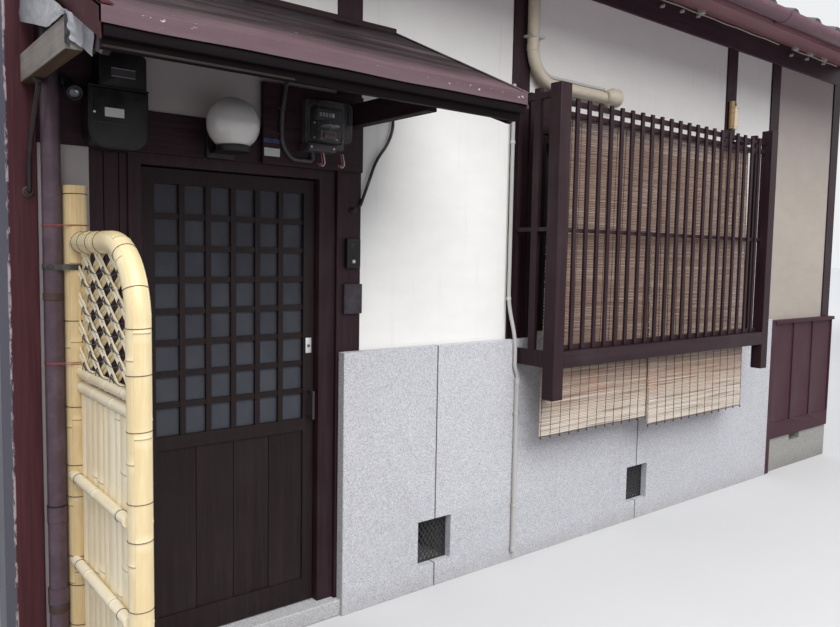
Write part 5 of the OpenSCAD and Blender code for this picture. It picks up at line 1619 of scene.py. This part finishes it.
cushion(plain_box, (-1.686, -1.610, 1.320, 1.433, 0.002), -0.0175, -0.0200, 0.0008, box_plastic)
plain_box.piece("plain_box", "grey_plastic", "name_plate")
plates = Maker()
plates.block((-2.073, -0.0222, 1.994), (-2.004, -0.0198, 2.010), blue_plastic, 0.0005)
plates.block((-2.071, -0.0216, 1.942), (-2.003, -0.0198, 1.974), label_plastic, 0.0004)
plates.piece("blank_plates", "grey_plastic")

# %% [markdown]
# A beige duct comes out of the soffit, bends along the wall and ends in a flared mouth, with a thin hose
# beside it. A second hose runs down the post on clips and drains into a pipe at the dado. At the left end
# the downpipe leads the gutter's water to the ground. Pipes are tubes with a collar wherever two lengths
# meet, and a collar is a short lathed ring.

# %% Duct, hoses and downpipe
DUCT_X, DUCT_Y, DUCT_Z, BEND_X, BEND_Z = -0.597, -0.030, 2.447, -0.427, 2.617
HOSE_X, HOSE_Y, DRAIN_X, DRAIN_Y = -0.704, -0.014, -0.672, -0.058
PIPE_X, PIPE_Y, GUTTER_Y = -2.840, -0.042, -0.548


def collar(maker, place, ahead, radius, length, finish):
    lip = min(0.002, length / 4)
    maker.lathe(place, ahead, [(0.0, radius - lip), (lip, radius), (length - lip, radius),
                               (length, radius - lip)], finish, 28)


def quarter_turn(y, radius):
    turns = [math.pi + math.pi / 2 * k / 16 for k in range(17)]
    return [(BEND_X + radius * math.cos(a), y, BEND_Z + radius * math.sin(a)) for a in turns]


duct = Maker()
duct_line = [(DUCT_X, DUCT_Y, z) for z in (3.100, 2.9, 2.75)] + quarter_turn(DUCT_Y, 0.170)
duct_line += [(x, DUCT_Y, DUCT_Z) for x in (-0.3, -0.15, 0.004)]
duct.tube(duct_line, 0.0288, duct_plastic, 28)
for place, ahead, radius, length in (((DUCT_X, DUCT_Y, 3.085), DOWN, 0.0325, 0.03),
                                     ((DUCT_X, DUCT_Y, 2.63), DOWN, 0.0310, 0.035),
                                     ((-0.428, DUCT_Y, DUCT_Z), ALONG, 0.0310, 0.035)):
    collar(duct, place, ahead, radius, length, duct_plastic)
flare = [(0.0, 0.031), (0.014, 0.034), (0.032, 0.045), (0.046, 0.0505), (0.090, 0.0515), (0.094, 0.0500),
         (0.094, 0.0440), (0.050, 0.0250)]
duct.lathe((-0.022, -0.042, 2.452), ALONG, flare, duct_plastic, 36)
hose_line = [(-0.552, -0.022, z) for z in (3.094, 2.9, 2.72)] + quarter_turn(-0.022, 0.125)
hose_line += [(x, -0.022, 2.492) for x in (-0.3, -0.1, -0.012)]
duct.tube(hose_line, 0.0085, drain_plastic, 12)
for z in (2.95, 2.66):
    duct.block((-0.632, -0.0610, z), (-0.540, 0.009, z + 0.012), drain_plastic)
duct.piece("wall_duct", "duct_plastic", "air_duct")

drain = Maker()
hose = eased_path([(HOSE_X, HOSE_Y, 2.420), (HOSE_X, HOSE_Y, 1.330), (-0.692, DRAIN_Y, 1.150),
                   (-0.692, DRAIN_Y, 1.010), (DRAIN_X, DRAIN_Y, 0.970), (DRAIN_X, DRAIN_Y, 0.930)],
                  0.012, 0.07)
drain.tube(hose, 0.0098, drain_plastic, 14)
drain.tube([(DRAIN_X, DRAIN_Y, z) for z in np.linspace(0.052, 0.946, 12)], 0.0128, drain_plastic, 16)
for z, radius, length in ((0.952, 0.0155, 0.032), (0.075, 0.0150, 0.025)):
    collar(drain, (DRAIN_X, DRAIN_Y, z), DOWN, radius, length, drain_plastic)
for z in (1.350, 2.130):
    collar(drain, (HOSE_X, HOSE_Y, z + 0.015), DOWN, 0.0122, 0.016, label_plastic)
    drain.block((-0.706, -0.006, z), (-0.678, -0.0005, z + 0.014), label_plastic, 0.0008)
for z in (0.30, 0.78):
    collar(drain, (DRAIN_X, DRAIN_Y, z), DOWN, 0.0148, 0.014, steel)
    drain.block((-0.690, -0.0475, z - 0.014), (-0.654, -0.0445, z), steel, 0.0005)
drain.piece("drain_hose", "duct_plastic", "drain_pipe")

rain = Maker()
rain_line = eased_path([(PIPE_X, PIPE_Y, 0.0), (PIPE_X, PIPE_Y, 2.700), (PIPE_X, GUTTER_Y, 2.840),
                        (PIPE_X, GUTTER_Y, 2.920)], 0.03, 0.05)
rain.tube(rain_line, 0.0297, pipe_plastic, 28)
for z, radius, length in ((0.433, 0.0335, 0.050), (0.715, 0.0318, 0.055), (2.665, 0.0340, 0.050)):
    collar(rain, (PIPE_X, PIPE_Y, z), DOWN, radius, length, pipe_plastic)
for z in (0.434, 0.385):
    collar(rain, (PIPE_X, PIPE_Y, z), DOWN, 0.0340, 0.004, grey_plastic)
collar(rain, (PIPE_X, PIPE_Y, 0.718), DOWN, 0.0322, 0.005, black_plastic)
collar(rain, (PIPE_X, GUTTER_Y, 2.915), DOWN, 0.0345, 0.03, pipe_plastic)
for z in (0.350, 1.400, 2.620):
    collar(rain, (PIPE_X, PIPE_Y, z + 0.025), DOWN, 0.0318, 0.025, iron_wire)
    rain.block((PIPE_X - 0.006, PIPE_Y + 0.028, z), (PIPE_X + 0.006, 0.010, z + 0.025), iron_wire)
rain.piece("rain_pipe", "pipe_plastic", "downpipe")

# %% [markdown]
# Red wire and a black strap tie the screen's wall post to the downpipe. Each is one loop round both
# sticks: half a turn round the pipe and half a turn round the post, joined by two straight runs.

# %% Ties between screen and downpipe
def round_both(z, near, far, sag=0.0):
    line = Vector((POST_X - PIPE_X, POST_Y - PIPE_Y))
    heading = math.atan2(line.y, line.x)
    loop = [(PIPE_X + near * math.cos(heading + a), PIPE_Y + near * math.sin(heading + a), z)
            for a in np.linspace(math.pi / 2, 3 * math.pi / 2, 15)]
    loop += [(POST_X + far * math.cos(heading + a), POST_Y + far * math.sin(heading + a), z + sag)
             for a in np.linspace(-math.pi / 2, math.pi / 2, 15)]
    return loop


links = Maker()
for z, sag in ((1.640, 0.006), (1.645, 0.002), (1.193, -0.003), (1.196, 0.0)):
    links.tube(round_both(z, 0.0312, 0.0392, sag), 0.0011, red_wire, 6, closed=True)
inner, outer = round_both(1.500, 0.0306, 0.0388), round_both(1.500, 0.0322, 0.0404)
links.loft([[inner[k], outer[k], (*outer[k][:2], 1.519), (*inner[k][:2], 1.519)] for k in range(len(inner))],
           black_cord, closed=True)
links.piece("screen_ties_to_pipe", "bamboo")

# %% [markdown]
# Two short bamboo vases hang on the post at the right of the bay. Each is a hollow culm that is open at
# its top, and one loop of wire over a nail carries both.

# %% Bamboo vases
VASE_Y, VASE_FOOT = -0.0192, 2.438
vases = Maker()
for k, (x, finish) in enumerate(((1.330, vase_bamboo), (1.368, slat_bamboo))):
    stick = [(x, VASE_Y, VASE_FOOT), (x, VASE_Y, 2.614 - 0.03 * k)]
    culm(vases, stick, 0.0186, finish, 1, 0.115, 50 + k, 9, 0.0045)
    for z in (2.452, 2.575):
        band(vases, (x, VASE_Y, z), UP, 0.0190, 0.0009, 20)
hanger = eased_path([(1.330, -0.0400, 2.590), (1.340, -0.020, 2.630), (1.352, -0.006, 2.668),
                     (1.362, -0.020, 2.632), (1.368, -0.0400, 2.560)], 0.006, 0.02)
vases.tube(hanger, 0.0013, iron_wire, 6)
vases.lathe((1.352, 0.0, 2.668), OUT, [(0.0, 0.002), (0.016, 0.002), (0.017, 0.005), (0.019, 0.005)],
            iron_wire, 12)
vases.piece("hanging_vases", "bamboo", "bamboo_vase", degrees=30)

# %% [markdown]
# Knobs and small cleats carry a thin pale cable along the top of the front beam. Two sleeves join the
# lengths of gutter.

# %% Beam knobs, cable and gutter sleeves
GUTTER_Z, CLEAT_Z = 2.972, 3.068
KNOB = [(0.0, 0.008), (0.010, 0.011), (0.014, 0.007), (0.018, 0.011), (0.024, 0.010), (0.027, 0.006)]
beam_fittings = Maker()
for x, z in ((0.513, 3.055), (0.717, 3.067), (0.893, 3.075), (2.107, 3.049), (2.349, 3.063), (2.619, 3.075)):
    beam_fittings.lathe((x, 0.0, z), OUT, KNOB, drain_plastic, 16)
for x in (0.79, 1.991, 2.206, 2.435):
    beam_fittings.block((x - 0.020, -0.116, CLEAT_Z - 0.022), (x + 0.020, -0.084, CLEAT_Z + 0.006),
                        drain_plastic, 0.002)
for x0, x1 in ((-0.55, 1.93), (2.12, 2.86)):
    line = [(x, -0.008, 3.096 - 0.004 * math.sin(9.0 * x) ** 2) for x in np.linspace(x0, x1, 40)]
    beam_fittings.tube(line, 0.0042, duct_plastic, 8)
beam_fittings.piece("beam_cable", "duct_plastic")
sleeves = Maker()
arc = [math.radians(a) for a in range(180, 361, 12)]
section = [(GUTTER_Y + r * math.cos(a), GUTTER_Z + r * math.sin(a))
           for r, turns in ((0.0550, arc), (0.0524, arc[::-1])) for a in turns]
for x in (-1.07, 0.93):
    sleeves.prism(section, "x", x - 0.035, x + 0.035, gutter_paint, strips=True)
sleeves.piece("gutter_sleeves", "gutter_metal")

# %% [markdown]
# Last, the view layer is updated.

# %% Finish
bpy.context.view_layer.update()
